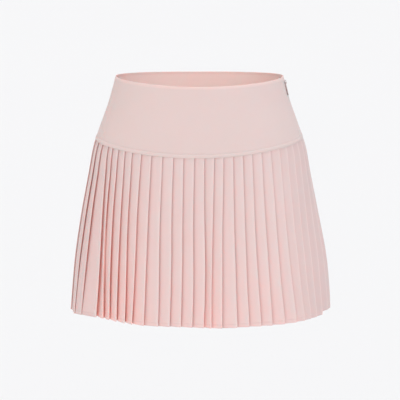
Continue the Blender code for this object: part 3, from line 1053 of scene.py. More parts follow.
@dataclass
class Yoke(Sewn):
    """The smooth shaped yoke: two panels, turned in at the waist and topstitched above the pleats.

    Attributes:
        wall: the cloth's wall.
        gap: between the panels at a side seam.
        column_step: the widest column of faces.
    """

    wall: float = 1.2
    gap: float = 0.3
    column_step: float = 4.0

    SLOT = Slot.YOKE
    STITCHES = "topstitch"
    STITCHING = Stitching(lift=5.3, spacing=2.9, size=(2.3, 0.5, 0.42))
    # The wall's rows from the waist down: the turned edge, the body by its share of the way, the foot.
    RIM = (
        Rim(drop=0.0, outer=-0.45, inner=-0.75),
        Rim(drop=0.1, outer=-0.2, inner=-1.0),
        Rim(drop=0.35, outer=-0.02, inner=-1.18),
        Rim(drop=0.8, outer=0.06, inner=-1.26),
        Rim(drop=1.8, outer=0.08, inner=-1.26),
        Rim(drop=3.2, outer=0.08, inner=-1.26),
        Rim(drop=4.4, outer=0.06, inner=-1.26),
        Rim(drop=5.2, outer=0.0, inner=-1.26),
    )
    FOOT = (
        Line(lift=8.0, outer=0.0, inner_lift=8.0, inner=-1.2),
        Line(lift=6.4, outer=-0.02, inner_lift=6.4, inner=-1.2),
        Line(lift=5.8, outer=-0.12, inner_lift=5.8, inner=-1.5),
        Line(lift=5.3, outer=-0.24, inner_lift=5.3, inner=-1.6),
        Line(lift=4.9, outer=-0.1, inner_lift=4.8, inner=-1.8),
        Line(lift=4.4, outer=0.18, inner_lift=4.2, inner=-2.3),
        Line(lift=3.6, outer=0.44, inner_lift=3.4, inner=-2.6),
        Line(lift=2.4, outer=0.54, inner_lift=2.6, inner=-2.7),
        Line(lift=1.2, outer=0.5, inner_lift=1.4, inner=-2.7),
        Line(lift=0.4, outer=0.44, inner_lift=0.3, inner=-2.6),
        Line(lift=0.0, outer=0.38, inner_lift=0.1, inner=-1.2),
        Line(lift=-0.25, outer=0.32, inner_lift=0.1, inner=0.1),
        Line(lift=-0.55, outer=0.27, inner_lift=-0.4, inner=0.1),
        Line(lift=-0.7, outer=0.22, inner_lift=-0.65, inner=0.14),
    )
    BODY = (
        0.062, 0.072, 0.086, 0.1, 0.115, 0.128, 0.142, 0.157, 0.175, 0.195, 0.22, 0.25, 0.285, 0.32, 0.36,
        0.4, 0.44, 0.48, 0.52, 0.56, 0.6, 0.64, 0.68, 0.72, 0.76, 0.8, 0.84, 0.875, 0.9,
    )
    DENTS = (
        Dent(place=-5.2, share=0.5, width=1.1, length=0.16, height=-0.5),
        Dent(place=-9.8, share=0.62, width=0.9, length=0.14, height=-0.45),
        Dent(place=-8.2, share=0.3, width=1.6, length=0.3, height=0.4),
        Dent(place=7.5, share=0.7, width=2.2, length=0.25, height=0.35),
        Dent(place=10.8, share=0.4, width=1.2, length=0.3, height=-0.4),
        Dent(place=24.0, share=0.55, width=1.6, length=0.2, height=-0.5),
        Dent(place=33.5, share=0.6, width=1.8, length=0.22, height=-0.45),
        Dent(place=29.0, share=0.35, width=2.4, length=0.3, height=0.4),
        Dent(place=38.5, share=0.45, width=1.2, length=0.25, height=-0.4),
        Dent(place=18.5, share=0.4, width=1.4, length=0.25, height=-0.4),
    )
    # How the panels meet at the side seams.
    PLAIN_SEAM = (
        Pinch(distance=0.0, depth=0.5),
        Pinch(distance=0.25, depth=0.24),
        Pinch(distance=0.6, depth=0.08),
        Pinch(distance=1.1, depth=0.0),
        Pinch(distance=2.2, depth=-0.05),
    )
    ZIP_PARTING = (
        Parting(drop=0.0, gap=0.3),
        Parting(drop=2.4, gap=0.4),
        Parting(drop=4.4, gap=1.4),
        Parting(drop=5.6, gap=2.0),
        Parting(drop=9.0, gap=2.1),
        Parting(drop=12.6, gap=2.0),
        Parting(drop=15.0, gap=1.4),
        Parting(drop=19.0, gap=0.7),
        Parting(drop=24.0, gap=0.3),
    )
    ZIP_SEAM = (
        Pinch(distance=0.0, depth=0.75),
        Pinch(distance=0.3, depth=0.4),
        Pinch(distance=0.7, depth=0.12),
        Pinch(distance=1.3, depth=-0.05),
        Pinch(distance=2.6, depth=-0.1),
    )
    # Where the turned edge's painted highlight fades, and how thin the wall may get.
    RIM_HIGHLIGHT_DROPS = (3.0, 5.0)
    LEAST_WALL = 0.06
    # How far out from the form the topstitching is, and how far it keeps from the side seams.
    STITCH_OUT = -0.16
    STITCH_IN = 0.1
    STITCH_POINTS = 160

    def dent(self, place: np.ndarray, share: float) -> np.ndarray:
        """How far the cloth stands out.

        Args:
            place: where, round the skirt.
            share: how far down it is, from 0 at the waist to 1 at the pleats.

        Returns:
            The heights of the cloth's dents and swells there, in millimetres.
        """
        total = 0.0
        for row in self.DENTS:
            reach = ((place - row.place) / row.width) ** 2 + ((share - row.share) / row.length) ** 2
            total = total + row.height * np.exp(-reach)
        return total

    def columns(
        self, width: float, start: Sequence[Pinch], end: Sequence[Pinch]
    ) -> tuple[np.ndarray, np.ndarray]:
        """Where a panel's columns are and how far each turns in.

        Args:
            width: the panel's width in millimetres.
            start: the pinch at its first side seam.
            end: the pinch at its last side seam.

        Returns:
            Each column's share of the width, and its depth in millimetres.
        """
        near, far = start[-1].distance, width - end[-1].distance
        steps = math.ceil((far - near) / self.column_step)
        middle = np.linspace(near, far, steps + 1)[1:-1]
        first = [row.distance for row in start]
        last = [width - row.distance for row in reversed(end)]
        depth = [row.depth for row in start] + [0.0] * len(middle) + [row.depth for row in reversed(end)]
        return np.array([*first, *middle, *last]) / width, np.array(depth)

    def courses(self) -> list[Course]:
        """The rows of the wall, from the waist down.

        Returns:
            The turned edge's rows, then the body's and those of the stitched-down foot.
        """
        rows = []
        # The turned edge's rows get a painted highlight, full down to 3 mm and gone by 5 mm.
        for drop, outer, inner in self.RIM:
            pressed = float(np.interp(drop, self.RIM_HIGHLIGHT_DROPS, (1.0, 0.0)))
            rows.append(Course(0.0, 0.0, Line(-drop, outer, -drop, inner), pressed))
        rows += [Course(down, down, Line(0.0, 0.0, 0.0, -self.wall)) for down in self.BODY]
        rows += [Course(1.0, 1.0 - line.lift / -Form.SEAM_HEIGHT, line) for line in self.FOOT]
        return rows

    def height(self, place: np.ndarray, down: float) -> np.ndarray:
        """The heights at places, a share of the way down from the waist to the pleats."""
        top = self.form.waist(place)
        return top + (self.form.seam(place) - top) * down

    def half_gap(self, side: SideSeam, height: float) -> float:
        """Half the distance between the panels at a side seam, at a height."""
        drops, gaps = zip(*self.ZIP_PARTING)
        return (np.interp(-height, drops, gaps) if side == SEAM_ZIP_SIDE else self.gap) / 2

    def panel(
        self, start: SideSeam, end: SideSeam, pinches: tuple[Sequence[Pinch], Sequence[Pinch]]
    ) -> Shell:
        """A panel's wall, from one side seam to the other.

        Args:
            start: the side seam where it begins.
            end: the side seam where it ends.
            pinches: how the cloth turns in at each.

        Returns:
            The wall.
        """
        width = (end.foot - start.foot) * float(self.form.pitch(Form.SEAM_HEIGHT))
        share, depth = self.columns(width, *pinches)
        outer, inner, creases = [], [], []
        for down, along, line, crease in self.courses():
            left, right = (side.waist + (side.foot - side.waist) * along for side in (start, end))
            near, far = (
                self.half_gap(side, float(self.height(edge, down)) + line.lift)
                for side, edge in ((start, left), (end, right))
            )
            trim = (near * (1 - share) - far * share) / float(self.form.pitch(Form.SEAM_HEIGHT * down))
            place = left + (right - left) * share + trim
            height = self.height(place, down)
            soft = self.dent(place, down) * math.sin(math.pi * down)
            outside = line.outer + soft - depth
            inside = np.minimum(line.inner + soft, outside - self.LEAST_WALL)
            outer.append(self.form.point(place, height + line.lift, outside))
            inner.append(self.form.point(place, height + line.inner_lift, inside))
            creases.append([crease])
        outer = np.array(outer)
        across = along_rows(outer)
        across -= across[:, -1:] / 2
        # Its inner face takes the deep colour whole, painted light inside the waist, and the creases paint
        # the turned edge's highlight.
        return Shell(outer, np.array(inner), across, outer[:, :, 2], 0.0, np.array(creases), reverse=1.0)

    def stitch_line(self, start: SideSeam, end: SideSeam) -> np.ndarray:
        """The middle of the topstitching, between two side seams."""
        place = np.linspace(start.foot + self.STITCH_IN, end.foot - self.STITCH_IN, self.STITCH_POINTS)
        return self.form.point(place, self.form.seam(place) + self.STITCHING.lift, self.STITCH_OUT)

    def build(self) -> dict[str, Object]:
        """Make both panels and their topstitching.

        Returns:
            The pieces by name.
        """
        made = {}
        for node, start, end, pinches in (
            ("yoke_front", SEAM_RIGHT_SIDE, SEAM_ZIP_SIDE, (self.PLAIN_SEAM, self.ZIP_SEAM)),
            ("yoke_back", SEAM_ZIP_SIDE, SEAM_BEHIND, (self.ZIP_SEAM, self.PLAIN_SEAM)),
        ):
            made |= self.sew(node, self.panel(start, end, pinches), [self.stitch_line(start, end)])
        return made


# ---- pleats


class Pleat(NamedTuple):
    """A raised fold edge, counted in pleats round the skirt.

    It is at one place at the seam and another at the hem, and bows between them. Its fold has a depth in
    millimetres, and fades by a share of it towards the hem. Its face has painted shade, a share from 0 to 1,
    and it hangs so many millimetres short at the hem.
    """

    seam: float
    hem: float
    depth: float
    bow: float = 0.0
    fade: float = 0.0
    dim: float = 0.0
    short: float = 0.0


# The folds that the front shows; dim paints shade on the faces towards +X.
SEEN_PLEATS = (
    Pleat(seam=-14.4, hem=-15.4, depth=2.4),
    Pleat(seam=-13.5, hem=-14.5, depth=2.4),
    Pleat(seam=-11.95, hem=-12.15, depth=6.0, bow=0.12, fade=0.9),
    Pleat(seam=-10.9, hem=-10.95, depth=7.2, bow=0.14, fade=0.72),
    Pleat(seam=-9.85, hem=-9.15, depth=8.6, bow=0.24),
    Pleat(seam=-9.2, hem=-8.48, depth=8.6),
    Pleat(seam=-8.4, hem=-7.9, depth=8.6),
    Pleat(seam=-7.6, hem=-7.2, depth=8.6, bow=0.06),
    Pleat(seam=-6.8, hem=-6.42, depth=8.6, bow=0.04),
    Pleat(seam=-5.8, hem=-5.78, depth=8.0, bow=0.04),
    Pleat(seam=-4.75, hem=-4.76, depth=5.5, bow=0.02),
    Pleat(seam=-3.65, hem=-3.55, depth=4.5),
    Pleat(seam=-2.57, hem=-2.58, depth=5.0),
    Pleat(seam=-1.58, hem=-1.65, depth=5.5),
    Pleat(seam=-0.55, hem=-0.7, depth=5.5),
    Pleat(seam=0.45, hem=0.26, depth=8.5),
    Pleat(seam=1.4, hem=0.88, depth=7.5, bow=-0.14),
    Pleat(seam=2.3, hem=1.78, depth=5.0, bow=-0.14),
    Pleat(seam=3.25, hem=3.04, depth=5.5, bow=-0.19),
    Pleat(seam=4.2, hem=4.04, depth=5.5, bow=-0.2),
    Pleat(seam=5.15, hem=5.05, depth=5.5, bow=-0.24),
    Pleat(seam=6.15, hem=6.03, depth=5.5, bow=-0.25),
    Pleat(seam=7.15, hem=7.15, depth=4.8, bow=-0.3),
    Pleat(seam=8.2, hem=8.25, depth=4.2, bow=-0.36, dim=0.04),
    Pleat(seam=9.15, hem=9.1, depth=3.4, bow=-0.4, dim=0.08),
    Pleat(seam=10.1, hem=9.8, depth=3.0, bow=-0.42, dim=0.12),
    Pleat(seam=11.1, hem=10.5, depth=2.8, bow=-0.42, dim=0.14),
    Pleat(seam=12.2, hem=11.3, depth=2.8, bow=-0.4, dim=0.15),
    Pleat(seam=13.2, hem=12.4, depth=3.4, bow=-0.34, dim=0.14, short=4.2),
    Pleat(seam=14.2, hem=13.8, depth=5.0, bow=-0.2, dim=0.1, short=3.6),
)


class Level(NamedTuple):
    """A row of a pleated wall, from one side of a panel to the other.

    It has a lift above the hem's edge, half a wall's thickness, the least recess of its cloth, which paints
    shade along the hem's stitching and at its edge, and a share of the way from the seam to the turned-up
    hem. The lift is only for rows of the hem, whose share is 1.
    """

    lift: float
    half: float
    shade: float = 0.0
    share: float = 1.0


class Stretch(NamedTuple):
    """A stretch of the wall's middle line: its points, and how they are shaded."""

    points: np.ndarray
    recess: np.ndarray
    crease: np.ndarray
    glow: np.ndarray


class Fold(NamedTuple):
    """A fold's corners at a level, through the middle of the wall, on the way round the skirt.

    Its face runs from the start to the raised edge, which turns under. The underlay runs back to the root,
    and the next face comes out at the knee. Two level directions follow, along the face and in from it,
    then how much painted light its face gets from the cloth beside it, and how much painted shade it has at
    its start and at the least.
    """

    start: np.ndarray
    edge: np.ndarray
    turn: np.ndarray
    under: np.ndarray
    root: np.ndarray
    knee: np.ndarray
    along: np.ndarray
    inward: np.ndarray
    glow: float
    shade: float
    dim: float

    def hidden(
        self, points: np.ndarray, recess: Sequence[float] = (1.0,), crease: Sequence[float] = (0.0,)
    ) -> Stretch:
        """A stretch inside the fold, shaded alike all along it unless its points say otherwise."""
        full = np.ones(len(points))
        return Stretch(points, full * recess, full * crease, full * self.glow)


@dataclass
class Pleating(Sewn):
    """The knife pleats: a pressed wall that folds under itself at every raised edge.

    Attributes:
        half_wall: half the cloth's thickness.
        solid_wall: the thickness of the solid that it stands for.
        top_gap: between the yoke's foot and the pleats.
        layer_step: from one pressed layer's middle to the next.
        underlay: how far each fold runs back under the face before it.
        knee: how far past a raised edge the next face comes out.
        knee_share: how much of the opening is behind the knee.
        fold_room: the least of a face that its fold leaves clear.
        opening_power: how soon the folds open below the seam.
        crown: how round a face is between its knee and its edge, from 0 to 1.
        sway: how far the folds waver between seam and hem.
        body_levels: rows of points between the seam and the turned-up hem.
    """

    half_wall: float = 0.27
    solid_wall: float = 1.1
    top_gap: float = 0.3
    layer_step: float = 0.95
    underlay: float = 9.5
    knee: float = 1.0
    knee_share: float = 0.65
    fold_room: float = 2.5
    opening_power: float = 0.8
    crown: float = 0.45
    sway: float = 0.022
    body_levels: int = 26

    SLOT = Slot.PLEATS
    STITCHES = "hemstitch"
    STITCHING = Stitching(lift=5.6, spacing=2.8, size=(2.1, 0.42, 0.34))
    # The number of the first fold in the table, and those of the front panel's first and last.
    FIRST_SEEN = -1
    FRONT = (3, 26)
    # How the folds behind waver at the hem, at the seam and in depth.
    BACK_WAVE = 2.3
    BACK_WAVER = 0.16
    BACK_SEAM_WAVER = 0.06
    BACK_DEPTH = 6.0
    BACK_DEPTH_WAVE = 1.7
    BACK_DEPTH_WAVER = 1.8
    # How low on the skirt a fold's bow is, and how its edge wavers from one fold to the next.
    BOW_POWER = 1.6
    WAVER_TURN = 5.0
    WAVER_STEP = 2.1
    # Points round a bend in degrees, and shares of the way along a face and a hidden layer.
    ARC = (-90.0, -45.0, 0.0, 45.0, 90.0)
    FACE_SHARES = (0.0, 0.06, 0.15, 0.28, 0.45, 0.65, 0.85)
    FOLD_SHARES = (0.25, 0.5, 0.8)
    SHARPEST = 0.7
    # The turned-up hem's rows, with painted shade along the stitching and at the edge.
    HEM = (
        Level(lift=8.0, half=0.3),
        Level(lift=6.6, half=0.32),
        Level(lift=6.0, half=0.44, shade=0.14),
        Level(lift=5.6, half=0.4, shade=0.2),
        Level(lift=5.2, half=0.48, shade=0.14),
        Level(lift=3.4, half=0.5),
        Level(lift=1.2, half=0.5, shade=0.06),
        Level(lift=0.5, half=0.46, shade=0.2),
        Level(lift=0.15, half=0.34, shade=0.25),
        Level(lift=0.0, half=0.16, shade=0.3),
    )
    # How a fold's depth sets the painted shade on the next face: the depths between which it grows, its
    # least, its share at the seam, and the level from which it is full.
    SHALLOW, DEEP = 1.6, 5.2
    LEAST_SHADE = 0.2
    SEAM_SHADE = 0.75
    SHADED_BY = 0.5
    # How much painted shade a face has beside its fold and over what share of it that fades, near and wide.
    FACE_SHADES = ((0.5, 0.1), (0.1, 0.4))
    # How light thrown by a neighbour grows with the opening between them, and falls across a face.
    GLOW_OPENING = 6.5
    GLOW_POWER = 1.5
    GLOW_FALL = 0.4
    # Where and how strongly a face gets a painted highlight by its pressed edge, then the painted shade and
    # highlight round the raised edge, and the painted shade of the knee and of the reverse.
    FACE_HIGHLIGHT_FROM = 0.7
    FACE_HIGHLIGHT = 0.6
    EDGE_RECESS = (0.0, 0.1, 0.35, 0.7, 1.0)
    EDGE_CREASE = (0.8, 1.0, 0.8, 0.3, 0.0)
    KNEE_RECESS = (1.0, 1.0, 0.85)
    REVERSE = 0.8
    # The hem's stitches: the face's first point that they reach, their room at each end, the hem's row.
    STITCH_START = 2
    STITCH_CLEAR = (0.8, 0.2)
    STITCHED_ROW = 3

    def pleat(self, number: int) -> Pleat:
        """A fold of the whole skirt.

        Args:
            number: the fold's number, counted from the front centre towards +X.

        Returns:
            The fold that the front shows, or one of those spread evenly behind but for small waves.
        """
        turns, index = divmod(number - self.FIRST_SEEN, PLEATS)
        turns *= PLEATS
        if index < len(SEEN_PLEATS):
            row = SEEN_PLEATS[index]
            return row._replace(seam=row.seam + turns, hem=row.hem + turns)
        start, end = SEEN_PLEATS[-1], SEEN_PLEATS[0]
        k = index - len(SEEN_PLEATS) + 1
        share, wave = k / (PLEATS - len(SEEN_PLEATS) + 1), math.sin(self.BACK_WAVE * k)
        seam = start.seam + (end.seam + PLEATS - start.seam) * share + self.BACK_SEAM_WAVER * wave
        hem = start.hem + (end.hem + PLEATS - start.hem) * share + self.BACK_WAVER * wave
        depth = self.BACK_DEPTH + self.BACK_DEPTH_WAVER * math.sin(self.BACK_DEPTH_WAVE * k)
        return Pleat(seam + turns, hem + turns, depth)

    def depth(self, number: int, level: Level) -> float:
        """How deep a fold is meant to be at a level, once it has opened."""
        row = self.pleat(number)
        return row.depth * (1 - row.fade * level.share**2)

    def opening(self, number: int, level: Level) -> float:
        """How far a fold hangs open at a level, beyond being pressed flat."""
        return max(self.depth(number, level) - 2 * self.layer_step, 0.0) * level.share**self.opening_power

    def shade(self, number: int, level: Level) -> float:
        """How much painted shade a fold puts on the face that comes out of it.

        Args:
            number: the fold's number.
            level: the row of the wall.

        Returns:
            A share from 0 to 1.
        """
        share = (self.depth(number, level) - self.SHALLOW) / (self.DEEP - self.SHALLOW)
        opened = self.SEAM_SHADE + (1 - self.SEAM_SHADE) * min(level.share / self.SHADED_BY, 1.0)
        return min(max(share, self.LEAST_SHADE), 1.0) * opened

    def edge_place(self, number: int, level: Level) -> float:
        """The place of a raised fold edge.

        Args:
            number: the fold's number.
            level: the row of the wall.

        Returns:
            Where it is round the skirt.
        """
        row = self.pleat(number)
        phase = self.WAVER_TURN * level.share + self.WAVER_STEP * (number % PLEATS)
        waver = self.sway * math.sin(math.pi * level.share) * math.sin(phase)
        bow = row.bow * math.sin(math.pi * level.share**self.BOW_POWER)
        return row.seam + (row.hem - row.seam) * level.share + bow + waver

    def height(self, number: int, place: float, level: Level) -> float:
        """The height of a fold's cloth.

        Args:
            number: the fold's number.
            place: the place round the skirt.
            level: the row of the wall.

        Returns:
            The height in millimetres.
        """
        top = float(self.form.seam(place)) - self.top_gap
        foot = float(self.form.hem(place)) + self.pleat(number).short
        full = foot + self.HEM[0].lift - top
        return foot + level.lift if level.share >= 1.0 else top + full * level.share

    def knee_point(self, number: int, level: Level) -> np.ndarray:
        """Where the next face comes out from under a fold edge.

        Args:
            number: the fold's number.
            level: the row of the wall.

        Returns:
            The point, in the middle of the wall.
        """
        edge = self.edge_place(number, level)
        place = edge + self.knee / float(self.form.pitch(self.height(number + 1, edge, level)))
        depth = 2 * self.layer_step + self.knee_share * self.opening(number, level)
        return self.form.point(place, self.height(number + 1, place, level), -self.half_wall - depth)

    def fold(self, number: int, level: Level) -> Fold:
        """A fold at a level.

        Args:
            number: the fold's number.
            level: the row of the wall.

        Returns:
            Its corners, and how its face is lit.
        """
        place, opened = self.edge_place(number, level), self.opening(number, level)
        edge = self.form.point(place, self.height(number, place, level), -self.half_wall)
        start = self.knee_point(number - 1, level)
        face = (edge - start)[:2]
        length = float(np.hypot(*face))
        along = np.array([*(face / length), 0.0])
        inward = np.array([-along[1], along[0], 0.0])
        back = min(math.sqrt(max(self.underlay**2 - opened**2, 1.0)), length - self.fold_room)
        edge = edge - (self.layer_step / 2 + self.half_wall - self.solid_wall / 2) * along
        under = edge - back * along + (self.layer_step + opened) * inward
        place -= back / float(self.form.pitch(edge[2]))
        under[2] = self.height(number, place, level)
        root = under + self.layer_step * inward
        root[2] = self.height(number + 1, place, level)
        return Fold(
            start=start,
            edge=edge,
            turn=edge + self.layer_step * inward,
            under=under,
            root=root,
            knee=self.knee_point(number, level),
            along=along,
            inward=inward,
            glow=min(self.opening(number - 1, level) / self.GLOW_OPENING, 1.0) ** self.GLOW_POWER,
            shade=self.shade(number - 1, level),
            dim=self.pleat(number).dim,
        )

    def face(self, fold: Fold) -> Stretch:
        """A fold's visible face, crowned from the knee before it to its raised edge.

        Args:
            fold: the fold.

        Returns:
            The face's stretch of the wall.
        """
        share = np.array(self.FACE_SHARES)
        rise = np.dot((fold.edge - fold.start)[:2], fold.inward[:2])
        full = np.sin(share * math.pi / 2) * self.crown + share * (1 - self.crown)
        points = fold.start + (fold.edge - fold.start) * share[:, None]
        points = points + ((full - share) * rise)[:, None] * fold.inward
        # Painted shade near the knee, painted highlight towards the raised edge, and painted light from the
        # cloth beside.
        recess = fold.shade * sum(dark * np.exp(-share / reach) for dark, reach in self.FACE_SHADES)
        crease = np.clip((share - self.FACE_HIGHLIGHT_FROM) / (1 - self.FACE_HIGHLIGHT_FROM), 0, 1) * self.FACE_HIGHLIGHT
        glow = fold.glow * (1 - self.GLOW_FALL * share)
        return Stretch(points, np.maximum(recess, fold.dim), crease, glow)

    def bend(self, middle: np.ndarray, ahead: np.ndarray, side: np.ndarray) -> np.ndarray:
        """Half a circle of points round a fold, from one layer to the next."""
        turn = np.radians(self.ARC)[:, None]
        return middle + self.layer_step / 2 * (np.cos(turn) * ahead + np.sin(turn) * side)

    def inside(self, fold: Fold, first: bool, last: bool) -> list[Stretch]:
        """A fold's hidden layers: its raised edge, its underlay, its root and the way out to the knee.

        Args:
            fold: the fold.
            first: whether the panel begins inside this fold.
            last: whether the panel ends inside this fold.

        Returns:
            The stretches of the wall, in order.
        """
        # Painted shade on the hidden layers, and a painted highlight round the raised edge as it turns.
        share = np.array(self.FOLD_SHARES)[:, None]
        stretches = []
        if not first:
            edge = self.bend((fold.edge + fold.turn) / 2, fold.along, fold.inward)
            stretches.append(fold.hidden(edge, self.EDGE_RECESS, self.EDGE_CREASE))
            stretches.append(fold.hidden(fold.turn + (fold.under - fold.turn) * share))
        if last:
            return stretches + [fold.hidden(fold.under[None])]
        root = self.bend((fold.under + fold.root) / 2, -fold.along, fold.inward)
        stretches.append(fold.hidden(fold.root[None] if first else root))
        stretches.append(fold.hidden(fold.root + (fold.knee - fold.root) * share, self.KNEE_RECESS))
        return stretches

    def path(self, first: int, last: int, level: Level) -> Stretch:
        """The middle of the wall at a level, from inside one fold to inside another.

        Args:
            first: the number of its first raised edge.
            last: the number of its last.
            level: the row of the wall.

        Returns:
            All of it as one stretch.
        """
        stretches = self.inside(self.fold(first - 1, level), first=True, last=False)
        for number in range(first, last + 1):
            fold = self.fold(number, level)
            stretches.append(self.face(fold))
            stretches += self.inside(fold, first=False, last=number == last)
        return Stretch(*(np.concatenate(parts) for parts in zip(*stretches)))

    def sides(self, points: np.ndarray, half: float) -> tuple[np.ndarray, np.ndarray]:
        """The two faces of a wall, measured on the level.

        Args:
            points: an open line through the middle of it.
            half: half its thickness.

        Returns:
            The lines on its outer and its inner side.
        """
        way = np.diff(points[:, :2], axis=0)
        way /= np.linalg.norm(way, axis=1, keepdims=True)
        after = np.concatenate([way, way[-1:]])
        mean = np.concatenate([way[:1], way]) + after
        mean /= np.linalg.norm(mean, axis=1, keepdims=True)
        reach = half / np.maximum((mean * after).sum(1), self.SHARPEST)
        across = np.stack([mean[:, 1], -mean[:, 0], np.zeros(len(mean))], -1) * reach[:, None]
        return points + across, points - across

    def panel(self, first: int, last: int) -> Shell:
        """A panel's wall, from the seam to the turned-up hem.

        Args:
            first: the number of its first raised edge.
            last: the number of its last.

        Returns:
            The wall.
        """
        shares = [k / self.body_levels for k in range(self.body_levels)]
        body = [Level(lift=0.0, half=self.half_wall, share=share) for share in shares]
        made = []
        for level in (*body, *self.HEM):
            path = self.path(first, last, level)
            # The hem's rows add their painted shade along the stitching and at the edge.
            recess = np.maximum(path.recess, level.shade)
            made.append((*self.sides(path.points, level.half), recess, path.crease, path.glow))
        outer, inner, recess, crease, glow = (np.array(grid) for grid in zip(*made))
        return Shell(outer, inner, along_rows(outer), outer[:, :, 2], recess, crease, self.REVERSE, glow)

    def hem_lines(self, first: int, last: int) -> list[np.ndarray]:
        """The hem's stitching: a line on each face, clear of its folds.

        Args:
            first: the number of the first raised edge.
            last: the number of the last.

        Returns:
            The lines, each an array of points.
        """
        level = Level(lift=self.STITCHING.lift, half=self.HEM[self.STITCHED_ROW].half)
        lines = []
        for number in range(first, last + 1):
            middle = self.face(self.fold(number, level)).points
            start, *body, end = self.sides(middle, level.half)[0][self.STITCH_START :]
            way = (end - start) / np.linalg.norm(end - start)
            behind, ahead = self.STITCH_CLEAR
            lines.append(np.array([start + behind * way, *body, end - ahead * way]))
        return lines

    def build(self) -> dict[str, Object]:
        """Make both pleated panels and the stitching of their hems.

        Returns:
            The pieces by name.
        """
        spans = {"pleats_front": self.FRONT, "pleats_back": (self.FRONT[1] + 1, self.FRONT[0] - 1 + PLEATS)}
        made = {}
        for node, span in spans.items():
            made |= self.sew(node, self.panel(*span), self.hem_lines(*span))
        return made


# ---- zip


@dataclass
class Zip:
    """The concealed zip in the side seam on the wearer's left.

    Attributes:
        form: the skirt's outer form.
        yoke_wall: the yoke's wall, which the tapes lie behind.
        gap: between the yoke and the tapes.
        tape_width: across both tapes.
        tape_wall: a tape's thickness.
        tape_top: how far below the waist the tapes begin.
        tape_foot: how far above the pleats they end.
        slot: between the tapes beside the slider.
        parted: how far below the waist the tapes part.
        tooth_spacing: from one turn of the coil to the next.
        tooth_size: a turn's thickness along the zip, its width and its height.
        half_tooth_size: the same where the coil is parted.
        slider_drop: how far below the waist the slider's middle is.
        slider_size: the slider's width, length and thickness.
        slider_corner: the radius of its corners.
        slider_depth: from the cloth's face in to the slider's.
        bridge_width: across the bridge that the pull hangs on.
        bridge_length: along it.
        bridge_metal: its thickness.
        pull_metal: the pull's thickness.
        pull_bar: the width of the pull's bar.
        pull_clearance: round the bar.
        pull_length: from the bar to the pull's foot.
        pull_top_width: across the pull at its bar.
        pull_width: across it at its widest.
        pull_window: the width and length of the opening that the bridge runs through.
        pull_tilt: how far the pull leans towards the cloth.
        edge_round: the radius of the metal's edges.
    """

    form: Form
    yoke_wall: float = 1.2
    gap: float = 0.3
    tape_width: float = 24.0
    tape_wall: float = 0.6
    tape_top: float = 5.0
    tape_foot: float = 10.0
    slot: float = 2.1
    parted: float = 13.4
    tooth_spacing: float = 1.05
    tooth_size: Triple = (0.82, 3.8, 1.2)
    half_tooth_size: Triple = (0.82, 2.2, 1.2)
    slider_drop: float = 9.0
    slider_size: Triple = (5.6, 8.0, 1.8)
    slider_corner: float = 1.4
    slider_depth: float = 2.9
    bridge_width: float = 1.4
    bridge_length: float = 6.4
    bridge_metal: float = 0.8
    pull_metal: float = 1.0
    pull_bar: float = 1.1
    pull_clearance: float = 0.32
    pull_length: float = 22.0
    pull_top_width: float = 4.8
    pull_width: float = 7.2
    pull_window: tuple[float, float] = (2.8, 5.0)
    pull_tilt: float = math.radians(0.3)
    edge_round: float = 0.26

    # A tape's columns, by their distance from the seam and then from its inner edge. Its rows, how thin
    # its edges are and the recess of its reverse, which paints shade on it, follow.
    TAPE_EDGES = (11.6, 9.0, 6.0, 3.5)
    TAPE_SELVEDGE = (0.9, 0.3, 0.0)
    TAPE_ROWS = 48
    TAPE_THIN = 0.5
    TAPE_REVERSE = 0.3
    # Between which drops the tapes come together, past where they part, and half the gap left below.
    PARTING = (-3.0, 4.0)
    HALF_CLOSED = 0.12
    # The coil's middle below the tapes, how far its closed run reaches, and where its halves are.
    COIL_DEPTH = 0.55
    COIL_REACH = 2.0
    COIL_POINTS = 40
    HALF_COIL_OFFSET = 0.5
    HALF_COIL_TOP = 0.8
    HALF_COIL_FOOT = 4.6
    HALF_COIL_POINTS = 6
    # How the metal's edges and corners are rounded or cut, the bridge's by a part of its metal.
    BEVEL_STEPS = 2
    WELD = 0.004
    SHARP = math.radians(50)
    CORNER_STEPS = 6
    DROP_STEPS = 28
    PULL_CUT = 0.5
    BRIDGE_CUT = 3.0
    WINDOW_CORNER = 0.6
    # Turns a flat outline of (y, z) points upright, along the zip.
    UPRIGHT = Matrix(((0, 0, 1, 0), (1, 0, 0, 0), (0, 1, 0, 0), (0, 0, 0, 1)))

    def place(self, height: float) -> float:
        """The place of the zip's side seam at a height."""
        foot = float(self.form.seam(SEAM_ZIP_SIDE.foot))
        return SEAM_ZIP_SIDE.waist + (SEAM_ZIP_SIDE.foot - SEAM_ZIP_SIDE.waist) * height / foot

    def on_cloth(self, height: float, out: float, across: float = 0.0) -> Vector:
        """The point of the seam at a height, so far out from the form and across the seam."""
        place = self.place(height) + across / float(self.form.pitch(height))
        return Vector(self.form.point(place, height, out))

    def seat(self) -> Matrix:
        """The slider's frame on the cloth.

        Returns:
            Its matrix in metres: x across the seam, y down along it, z out of the cloth.
        """
        high, low = -self.slider_drop + self.slider_size[1], -self.slider_drop - self.pull_length
        here = self.on_cloth(-self.slider_drop, 0.0)
        down = (self.on_cloth(low, 0.0) - self.on_cloth(high, 0.0)).normalized()
        level_out = Vector((*self.form.outward(self.place(-self.slider_drop), -self.slider_drop), 0.0))
        out = (level_out - level_out.dot(down) * down).normalized()
        turn = Matrix((down.cross(out), down, out)).transposed().to_4x4()
        return Matrix.Translation(here * MM) @ turn

    def bar_reach(self) -> float:
        """How far the corners of the pull's bar are from its turning axis."""
        return math.hypot(self.pull_bar, self.pull_metal) / 2

    def axis_lift(self) -> float:
        """How far the pull's turning axis is from the cloth."""
        return self.pull_clearance + self.bar_reach()

    def tape_end(self) -> float:
        """The height of the tapes' lower ends."""
        return float(self.form.seam(SEAM_ZIP_SIDE.foot)) + self.tape_foot

    def inner_edge(self, drop: np.ndarray) -> np.ndarray:
        """How far each tape's inner edge is from the seam, at drops."""
        drops = [self.parted + beyond for beyond in self.PARTING]
        return np.interp(drop, drops, (self.slot / 2, self.HALF_CLOSED))

